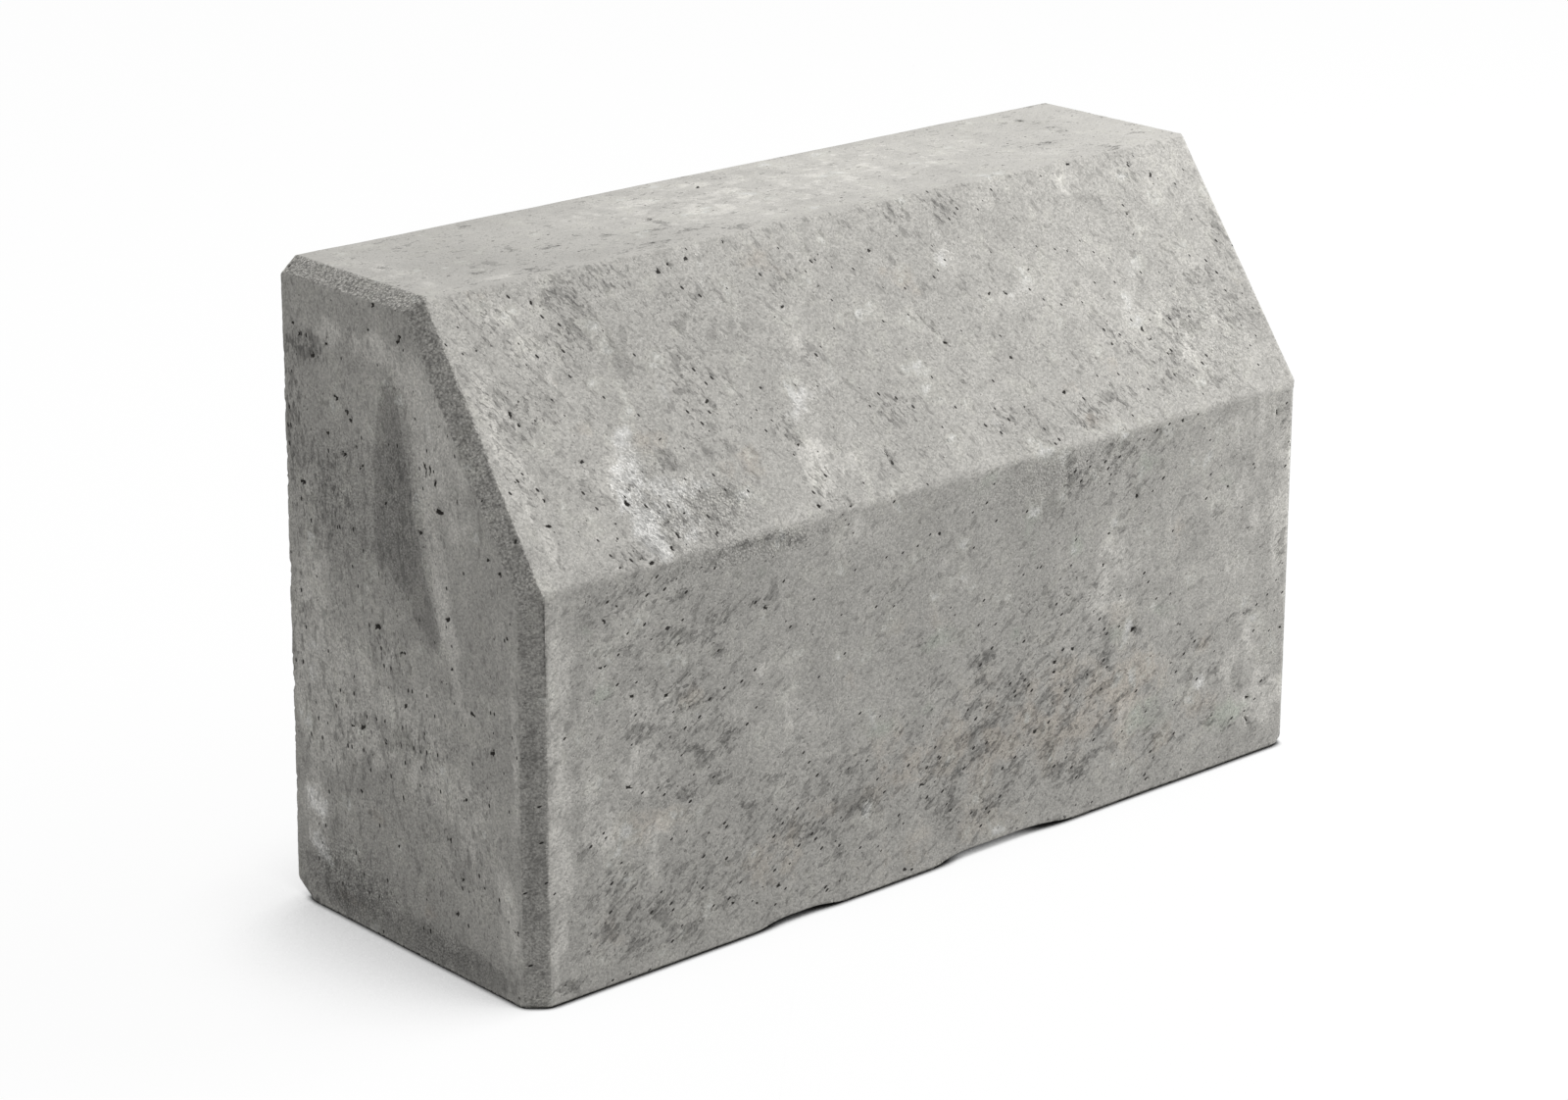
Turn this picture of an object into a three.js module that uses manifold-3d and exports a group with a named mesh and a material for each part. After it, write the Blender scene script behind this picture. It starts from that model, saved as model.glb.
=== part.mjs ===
// A precast concrete kerb stone with a splayed road face, cast as one piece in a steel mould.
//
// Millimetres, +Z up. X runs along the kerb, the road face looks along -Y, and the origin is the
// middle of the bed, which stands on z = 0. The stone is a loft: its section is drawn once, each
// butt end repeats it with every face moved in by its own inset, and the surfaces between the
// two outlines are the mitred chamfers. Shallow hollows are then cut in the bed's front arris.

import * as THREE from "three";
import { mergeVertices } from "three/addons/utils/BufferGeometryUtils.js";
import Module from "manifold-3d";

// Block, measured at the bed.
const LENGTH = 413;
const WIDTH = 150;
const HEIGHT = 255;

// Section: an upright road face, a splay above it, a flat tread and a nearly upright back.
const KNEE_HEIGHT = 160; // where the upright road face turns into the splay
const TREAD_WIDTH = 82.5; // flat top, measured square across the kerb
const HEEL_WIDTH = 12; // bevel under the back, across the kerb
const HEEL_HEIGHT = 8; // the same bevel, up the back

// Rounding of the long arrises.
const KNEE_RADIUS = 6.5;
const TREAD_RADIUS = 3;
const HEEL_RADIUS = 3;
const PLAIN_ARRIS_RADIUS = 1.5; // the long arrises that the mould leaves almost sharp

// Draft that lets the stone out of its mould: how far a face leans in by the top.
const BACK_DRAFT = 2.5;
const END_DRAFT = 1.5;

// Chamfer round each butt end. On each face it starts its own run along the kerb from the end,
// and cuts that face back by its own depth, so its corners are mitred unequally. The bed has none.
const CHAMFER_ROAD_RUN = 7.6;
const CHAMFER_SPLAY_RUN = 5.8;
const CHAMFER_TREAD_RUN = 8;
const CHAMFER_BACK_RUN = 8;
const CHAMFER_ROAD_DEPTH = 6.7;
const CHAMFER_SPLAY_DEPTH = 7;
const CHAMFER_TREAD_DEPTH = 5;
const CHAMFER_BACK_DEPTH = 2;

// Two shallow hollows in the bed's front arris, where the mix stood off the mould floor. Each is
// placed from the left butt end, rises over its first flank, holds its crest, and falls again.
const HOLLOW_REACH = 32; // how far a hollow runs in under the stone before it dies out
const SHORT_HOLLOW_START = 100.5;
const SHORT_HOLLOW_RISE = 2.7;
const SHORT_HOLLOW_FLANK = 25;
const SHORT_HOLLOW_CREST = 8;
const SHORT_HOLLOW_TAIL = 27;
const LONG_HOLLOW_START = 193.5;
const LONG_HOLLOW_RISE = 3.3;
const LONG_HOLLOW_FLANK = 27;
const LONG_HOLLOW_CREST = 27;
const LONG_HOLLOW_TAIL = 44;

// Fineness of the curves, and how far a cutter overruns the surface that it cuts.
const ARC_DIVISIONS = 8;
const CURVE_DIVISIONS = 10;
const OVERRUN = 4;

const CONCRETE = new THREE.MeshStandardMaterial({
  name: "concrete",
  color: 0xa9a8a4,
  roughness: 0.92,
  metalness: 0,
  flatShading: true,
});

// How far each face of the section is moved in on the flat of a butt end.
const END_INSETS = {
  road: CHAMFER_ROAD_DEPTH,
  splay: CHAMFER_SPLAY_DEPTH,
  tread: CHAMFER_TREAD_DEPTH,
  back: CHAMFER_BACK_DEPTH,
};

// How far from a butt end each face of the section starts at its full size. The heel and the bed
// have no chamfer of their own, and end with that of the back.
const FULL_SECTION_RUNS = {
  road: CHAMFER_ROAD_RUN,
  splay: CHAMFER_SPLAY_RUN,
  tread: CHAMFER_TREAD_RUN,
  back: CHAMFER_BACK_RUN,
  heel: CHAMFER_BACK_RUN,
  bed: CHAMFER_BACK_RUN,
};

// The faces of the section in order, clockwise when seen from +X: each is a line through two
// points (y, z), and the radius belongs to the arris where the face starts.
function sectionFaces() {
  const front = -WIDTH / 2;
  const back = WIDTH / 2;
  const treadBack = back - BACK_DRAFT;
  const treadFront = treadBack - TREAD_WIDTH;
  return [
    { name: "road", from: [front, 0], to: [front, KNEE_HEIGHT], radius: PLAIN_ARRIS_RADIUS },
    { name: "splay", from: [front, KNEE_HEIGHT], to: [treadFront, HEIGHT], radius: KNEE_RADIUS },
    { name: "tread", from: [treadFront, HEIGHT], to: [treadBack, HEIGHT], radius: TREAD_RADIUS },
    { name: "back", from: [treadBack, HEIGHT], to: [back, HEEL_HEIGHT], radius: PLAIN_ARRIS_RADIUS },
    { name: "heel", from: [back, HEEL_HEIGHT], to: [back - HEEL_WIDTH, 0], radius: HEEL_RADIUS },
    { name: "bed", from: [back - HEEL_WIDTH, 0], to: [front, 0], radius: HEEL_RADIUS },
  ];
}

// A face's line moved in by an inset: a point on it and its direction.
function insetLine(face, inset) {
  const from = new THREE.Vector2(...face.from);
  const along = new THREE.Vector2(...face.to).sub(from).normalize();
  const inward = new THREE.Vector2(along.y, -along.x);
  return { point: from.addScaledVector(inward, inset), along };
}

// Where two lines meet.
function meet(first, second) {
  const apart = second.point.clone().sub(first.point);
  const share = apart.cross(second.along) / first.along.cross(second.along);
  return first.point.clone().addScaledVector(first.along, share);
}

// The section's outline with its long arrises rounded. Each face is moved in by its inset, and
// each point carries the run of its face, blended over the arris from one face's to the next's.
function sectionOutline(insets, runs) {
  const faces = sectionFaces();
  const lines = faces.map((face) => insetLine(face, insets[face.name] ?? 0));
  const corners = lines.map((line, i) => meet(lines.at(i - 1), line));
  return corners.flatMap((corner, i) => {
    const toPrevious = corners.at(i - 1).clone().sub(corner).normalize();
    const toNext = corners[(i + 1) % corners.length].clone().sub(corner).normalize();
    const halfAngle = Math.acos(toPrevious.dot(toNext)) / 2;
    const radius = faces[i].radius;
    const tangent = radius / Math.tan(halfAngle);
    const bisector = toPrevious.clone().add(toNext).normalize();
    const centre = corner.clone().addScaledVector(bisector, radius / Math.sin(halfAngle));
    const start = corner.clone().addScaledVector(toPrevious, tangent).sub(centre).angle();
    const end = corner.clone().addScaledVector(toNext, tangent).sub(centre).angle();
    const arc = new THREE.EllipseCurve(centre.x, centre.y, radius, radius, start, end, true);
    const runBefore = runs[faces.at(i - 1).name] ?? 0;
    const runAfter = runs[faces[i].name] ?? 0;
    return arc.getPoints(ARC_DIVISIONS).map(({ x: y, y: z }, k) => {
      return { y, z, run: THREE.MathUtils.lerp(runBefore, runAfter, k / ARC_DIVISIONS) };
    });
  });
}

// One ring of the loft: an outline stood on the drafted end plane of the given side, each point
// moved along the kerb from it by its run.
function ring(outline, side) {
  return outline.map(({ y, z, run }) => {
    const endPlane = LENGTH / 2 - (END_DRAFT * z) / HEIGHT;
    return new THREE.Vector3(side * (endPlane - run), y, z);
  });
}

// A closed surface through rings that run from -X to +X and have equal numbers of points.
function loft(rings) {
  const count = rings[0].length;
  const triangles = [];
  for (let r = 0; r + 1 < rings.length; r += 1) {
    for (let i = 0; i < count; i += 1) {
      const a = r * count + i;
      const b = r * count + ((i + 1) % count);
      triangles.push(a, a + count, b, b, a + count, b + count);
    }
  }
  const flat = rings[0].map((p) => new THREE.Vector2(p.y, p.z));
  const lastRing = (rings.length - 1) * count;
  for (const [a, b, c] of THREE.ShapeUtils.triangulateShape(flat, [])) {
    triangles.push(a, c, b, lastRing + a, lastRing + b, lastRing + c);
  }
  return new THREE.BufferGeometry().setFromPoints(rings.flat()).setIndex(triangles);
}

// The cast block before its bed is hollowed: butt end, full section, full section, butt end.
function kerbBlock() {
  const full = sectionOutline({}, FULL_SECTION_RUNS);
  const endFlat = sectionOutline(END_INSETS, {});
  return loft([ring(endFlat, -1), ring(full, -1), ring(full, 1), ring(endFlat, 1)]);
}

// The space under one hollow of the bed's front arris: a wave-shaped outline, extruded across
// the kerb and tilted, so that it is full height at the road face and nothing at its reach.
function hollowCutter(start, rise, flank, crest, tail) {
  const wave = new THREE.Shape();
  wave.moveTo(0, 0);
  wave.bezierCurveTo(flank / 2, 0, flank / 2, rise, flank, rise);
  wave.lineTo(flank + crest, rise);
  const foot = flank + crest + tail;
  wave.bezierCurveTo(foot - tail / 2, rise, foot - tail / 2, 0, foot, 0);
  wave.lineTo(foot, -OVERRUN);
  wave.lineTo(0, -OVERRUN);
  wave.closePath();
  return new THREE.ExtrudeGeometry(wave, {
    depth: HOLLOW_REACH + OVERRUN,
    curveSegments: CURVE_DIVISIONS,
    bevelEnabled: false,
  })
    .rotateX(Math.PI / 2)
    .rotateX(-Math.atan(rise / HOLLOW_REACH))
    .translate(start - LENGTH / 2, HOLLOW_REACH - WIDTH / 2, -rise);
}

const wasm = await Module();
wasm.setup();

// A closed geometry as a solid that can be joined and cut.
function solidOf(geometry) {
  const bare = geometry.clone().deleteAttribute("normal").deleteAttribute("uv");
  const merged = mergeVertices(bare, 1e-4);
  const mesh = new wasm.Mesh({
    numProp: 3,
    vertProperties: merged.attributes.position.array,
    triVerts: new Uint32Array(merged.index.array),
  });
  return new wasm.Manifold(mesh);
}

// A solid's surface as a flat-shaded geometry.
function geometryOf(solid) {
  const { vertProperties, triVerts } = solid.getMesh();
  const indexed = new THREE.BufferGeometry();
  indexed.setAttribute("position", new THREE.BufferAttribute(vertProperties, 3));
  indexed.setIndex(new THREE.BufferAttribute(triVerts, 1));
  const surface = indexed.toNonIndexed();
  surface.computeVertexNormals();
  return surface;
}

function kerbStone() {
  const shortHollow = hollowCutter(
    SHORT_HOLLOW_START,
    SHORT_HOLLOW_RISE,
    SHORT_HOLLOW_FLANK,
    SHORT_HOLLOW_CREST,
    SHORT_HOLLOW_TAIL,
  );
  const longHollow = hollowCutter(
    LONG_HOLLOW_START,
    LONG_HOLLOW_RISE,
    LONG_HOLLOW_FLANK,
    LONG_HOLLOW_CREST,
    LONG_HOLLOW_TAIL,
  );
  const cast = solidOf(kerbBlock()).subtract(solidOf(shortHollow)).subtract(solidOf(longHollow));
  const mesh = new THREE.Mesh(geometryOf(cast), CONCRETE);
  mesh.name = "kerb_stone";
  return mesh;
}

const kerb = new THREE.Group();
kerb.name = "kerb";
kerb.add(kerbStone());

export default kerb;
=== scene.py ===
"""A precast concrete kerb stone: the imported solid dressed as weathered, air-pitted concrete.

The stone is one piece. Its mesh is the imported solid, cut fine where it is seen, moved into the
relief of its cast skin, and painted with weathering, which the concrete's material then draws.
"""

import logging
import math
from dataclasses import dataclass, field
from enum import Enum
from typing import Callable

import bmesh
import bpy
import numpy as np
from mathutils import Matrix, Vector, noise


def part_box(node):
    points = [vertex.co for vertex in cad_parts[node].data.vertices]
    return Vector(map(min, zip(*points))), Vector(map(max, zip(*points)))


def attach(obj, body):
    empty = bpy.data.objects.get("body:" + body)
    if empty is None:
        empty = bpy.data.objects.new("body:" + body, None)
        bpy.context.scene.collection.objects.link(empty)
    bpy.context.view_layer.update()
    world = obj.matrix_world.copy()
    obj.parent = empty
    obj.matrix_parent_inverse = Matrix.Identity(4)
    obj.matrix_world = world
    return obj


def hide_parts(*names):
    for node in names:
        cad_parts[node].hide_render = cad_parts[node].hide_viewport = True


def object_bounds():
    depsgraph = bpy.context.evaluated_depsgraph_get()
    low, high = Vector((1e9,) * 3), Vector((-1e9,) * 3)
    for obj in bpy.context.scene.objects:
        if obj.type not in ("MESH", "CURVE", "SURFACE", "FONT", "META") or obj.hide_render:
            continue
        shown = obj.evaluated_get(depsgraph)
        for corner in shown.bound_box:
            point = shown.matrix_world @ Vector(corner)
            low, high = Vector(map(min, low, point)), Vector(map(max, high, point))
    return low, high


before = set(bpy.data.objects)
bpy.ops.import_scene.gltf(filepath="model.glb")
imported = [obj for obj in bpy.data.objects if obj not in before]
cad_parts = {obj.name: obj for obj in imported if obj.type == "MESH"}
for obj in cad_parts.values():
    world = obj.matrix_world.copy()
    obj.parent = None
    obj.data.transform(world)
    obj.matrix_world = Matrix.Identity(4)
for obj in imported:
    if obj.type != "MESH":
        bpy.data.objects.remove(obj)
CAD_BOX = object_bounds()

LOG = logging.getLogger("kerb")
MM = 0.001
LAY_MAP = "lay"  # the UV map whose U runs the way that the mix was drawn on each face
NOISE_MIDDLE = 0.5  # the middle of a texture's noise and of a cell's random value
HOLE_SIZE = 0.8  # an air hole's mouth, as a share of the dark spot that it makes
HOLE_DEPTH = 1.2  # an air hole's depth, as a share of half the breadth of its spot
LUMP_FALL = 1.0  # how fast finer lumps of a relief get lower
LUMP_RATIO = 2.0  # how much finer each next set of lumps is
SEED_STEP = (3.1, 5.7, 7.3)  # how far apart two seeds read the noise, in lumps

# Settings that several nodes share.
MULTIPLY_ADD = {"operation": "MULTIPLY_ADD"}
MULTIPLY = {"operation": "MULTIPLY"}
SUBTRACT = {"operation": "SUBTRACT"}
MAXIMUM = {"operation": "MAXIMUM"}
SOFT_STEP = {"interpolation_type": "SMOOTHSTEP"}
MIX_COLOURS = {"data_type": "RGBA"}
ROUND_CELLS = {"feature": "F1"}

Tree = bpy.types.NodeTree
Socket = bpy.types.NodeSocket


def linear(hex_colour: str) -> tuple[float, float, float, float]:
    """Turns an sRGB colour into the linear one that a shader takes.

    Args:
        hex_colour: The colour as "#RRGGBB".

    Returns:
        Red, green, blue and an alpha of 1.
    """
    channels = [int(hex_colour[i : i + 2], 16) / 255 for i in (1, 3, 5)]
    curve = [c / 12.92 if c <= 0.04045 else ((c + 0.055) / 1.055) ** 2.4 for c in channels]
    return (*curve, 1.0)


WHITE = linear("#FFFFFF")


def add(
    tree: Tree, kind: str, settings: dict[str, object] | None = None, **sockets: object
) -> bpy.types.Node:
    """Adds a node with its settings, and sets or links its inputs.

    Args:
        tree: The node tree.
        kind: The node's type, without the leading "ShaderNode".
        settings: Properties of the node itself.
        sockets: Input values or output sockets, by input name with _ for a space, or as i0, i1 and
            so on by place.

    Returns:
        The new node.
    """
    made = tree.nodes.new("ShaderNode" + kind)
    for name, value in (settings or {}).items():
        setattr(made, name, value)
    for name, value in sockets.items():
        numbered = name[0] == "i" and name[1:].isdigit()
        socket = made.inputs[int(name[1:]) if numbered else name.replace("_", " ")]
        if isinstance(value, Socket):
            tree.links.new(value, socket)
        else:
            socket.default_value = value
    return made


def smoothstep(low: float, high: float, x: np.ndarray) -> np.ndarray:
    """A smooth ramp from 0 at low to 1 at high."""
    t = np.clip((x - low) / (high - low), 0.0, 1.0)
    return t * t * (3.0 - 2.0 * t)


class Face(Enum):
    """The plane faces of the stone."""

    TREAD = "tread"
    SPLAY = "splay"
    ROAD = "road"
    BACK = "back"
    BED = "bed"
    LEFT_END = "left_end"
    RIGHT_END = "right_end"


@dataclass(frozen=True)
class Plane:
    """A face as a plane of its own, in millimetres.

    Attributes:
        origin: A point on the face.
        across: Unit direction in which the first coordinate grows.
        up: Unit direction in which the second coordinate grows.
        grain_turn: Direction in which marks are drawn out on this face, in degrees from across.
    """

    origin: tuple[float, float, float]
    across: tuple[float, float, float]
    up: tuple[float, float, float]
    grain_turn: float

    @property
    def normal(self) -> np.ndarray:
        """Unit normal, towards the outside."""
        return np.cross(self.across, self.up)

    def place(self, u: float, v: float) -> np.ndarray:
        """The point in space at the face's own coordinates."""
        return np.array(self.origin) + u * np.array(self.across) + v * np.array(self.up)

    def flatten(self, points: np.ndarray) -> np.ndarray:
        """The face's own coordinates of points in space, one row each."""
        offset = points - np.array(self.origin)
        return np.stack([offset @ np.array(self.across), offset @ np.array(self.up)], axis=1)


@dataclass(frozen=True)
class Section:
    """The kerb's section: what the faces' planes are worked out from.

    Attributes:
        length: Length along the kerb at the bed, in millimetres, as the rest are.
        width: Width at the bed.
        height: Height from the bed to the tread.
        knee_height: Height where the upright road face turns into the splay.
        tread_width: Width of the flat tread, square across the kerb.
        back_draft: How far the back leans in by the top.
        end_draft: How far each butt end leans in by the top.
        chamfer_run: The longest run of the chamfer round a butt end.
    """

    length: float
    width: float
    height: float
    knee_height: float = 160.0
    tread_width: float = 82.5
    back_draft: float = 2.5
    end_draft: float = 1.5
    chamfer_run: float = 8.0

    @classmethod
    def of_node(cls, name: str) -> "Section":
        """Takes length, width and height from a CAD node's box.

        Args:
            name: The node's name.

        Returns:
            The section.
        """
        low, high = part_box(name)
        length, width, height = ((high[i] - low[i]) / MM for i in range(3))
        return cls(length, width, height)

    @property
    def splay_run(self) -> float:
        """How far the splay leans back over its height."""
        return self.width - self.back_draft - self.tread_width

    @property
    def splay_length(self) -> float:
        """Length of the splay up its slope."""
        return math.hypot(self.splay_run, self.height - self.knee_height)

    def planes(self) -> dict[Face, Plane]:
        """Works out the plane of every face.

        Returns:
            The planes, by face.
        """
        front, back = -self.width / 2, self.width / 2
        left, right = -self.length / 2, self.length / 2
        rise_of_splay = self.height - self.knee_height
        slope = (self.splay_run / self.splay_length, rise_of_splay / self.splay_length)
        lean = math.hypot(self.end_draft, self.height)
        rise = (self.end_draft / lean, 0.0, self.height / lean)
        return {
            Face.TREAD: Plane((0, 0, self.height), (1, 0, 0), (0, 1, 0), grain_turn=0.0),
            Face.SPLAY: Plane((0, front, self.knee_height), (1, 0, 0), (0, *slope), grain_turn=-58.0),
            Face.ROAD: Plane((0, front, 0), (1, 0, 0), (0, 0, 1), grain_turn=32.0),
            Face.BACK: Plane((0, back, 0), (-1, 0, 0), (0, 0, 1), grain_turn=80.0),
            Face.BED: Plane((0, 0, 0), (1, 0, 0), (0, -1, 0), grain_turn=10.0),
            Face.LEFT_END: Plane((left, 0, 0), (0, -1, 0), rise, grain_turn=96.0),
            Face.RIGHT_END: Plane((right, 0, 0), (0, 1, 0), (-rise[0], 0, rise[2]), grain_turn=84.0),
        }


class Stain(Enum):
    """The kinds of weathering, each one painted on the stone as an attribute of its mesh."""

    DAMP = "damp"
    SPECKS = "specks"
    LIME = "lime"
    TAN = "tan"
    ALGAE = "algae"
    SANDY = "sandy"
    FILM = "film"


class Mask(Enum):
    """What else is painted on the mesh: the painted shade of its air holes and of the line along its
    foot, and what was cast on the mould.
    """

    # painted shade in the air holes and along the foot
    HOLE = "hole"
    EXPOSED = "exposed"


@dataclass(frozen=True)
class Patch:
    """A soft elliptical patch of weathering on one face.

    Attributes:
        kind: What it is.
        face: The face that it lies on.
        u: Place across the face, in millimetres.
        v: Place up the face, in millimetres.
        long: Half its length, in millimetres.
        short: Half its breadth, in millimetres.
        amount: Strength at its middle, up to 1.
        turn: Direction of its length, in degrees from across.
    """

    kind: Stain
    face: Face
    u: float
    v: float
    long: float
    short: float
    amount: float
    turn: float = 0.0


@dataclass(frozen=True)
class AirHole:
    """A pit that an air bubble left in one face.

    Attributes:
        face: The face that it lies in.
        u: Place across the face, in millimetres.
        v: Place up the face, in millimetres.
        long: Half the length of its mouth, in millimetres.
        short: Half the breadth of its mouth, in millimetres.
        depth: Its depth, in millimetres.
        turn: Direction of its length, in degrees from across.
    """

    face: Face
    u: float
    v: float
    long: float
    short: float
    depth: float
    turn: float = 0.0


@dataclass(frozen=True)
class Arris:
    """A stretch of a sharp edge.

    Attributes:
        start: One end, in millimetres.
        end: The other end.
        turn: How far the surface turns over it, in radians.
        radius: Its worn radius, in millimetres.
    """

    start: np.ndarray
    end: np.ndarray
    turn: float
    radius: float


@dataclass(frozen=True)
class WornCorner:
    """A corner that is worn off flat.

    Attributes:
        point: A point on the cut, in millimetres.
        normal: The cut's unit normal, outwards.
    """

    point: np.ndarray
    normal: np.ndarray

    def beyond(self, points: np.ndarray) -> np.ndarray:
        """How far each point stands out past the cut, or 0 inside it."""
        return np.maximum((points - self.point) @ self.normal, 0.0)


@dataclass(frozen=True)
class Unevenness:
    """Fractal noise through space.

    Attributes:
        size: Width of the largest lumps, in millimetres.
        octaves: How many times the lumps are halved.
        seed: Moves the pattern, so that no two match.
    """

    size: float
    octaves: int
    seed: float

    def at(self, points: np.ndarray) -> np.ndarray:
        """The noise at places in millimetres, about zero and mostly between -1 and 1."""
        shifted = points / self.size + self.seed * np.array(SEED_STEP)
        return np.array([noise.fractal(row, LUMP_FALL, LUMP_RATIO, self.octaves) for row in shifted])


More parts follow.
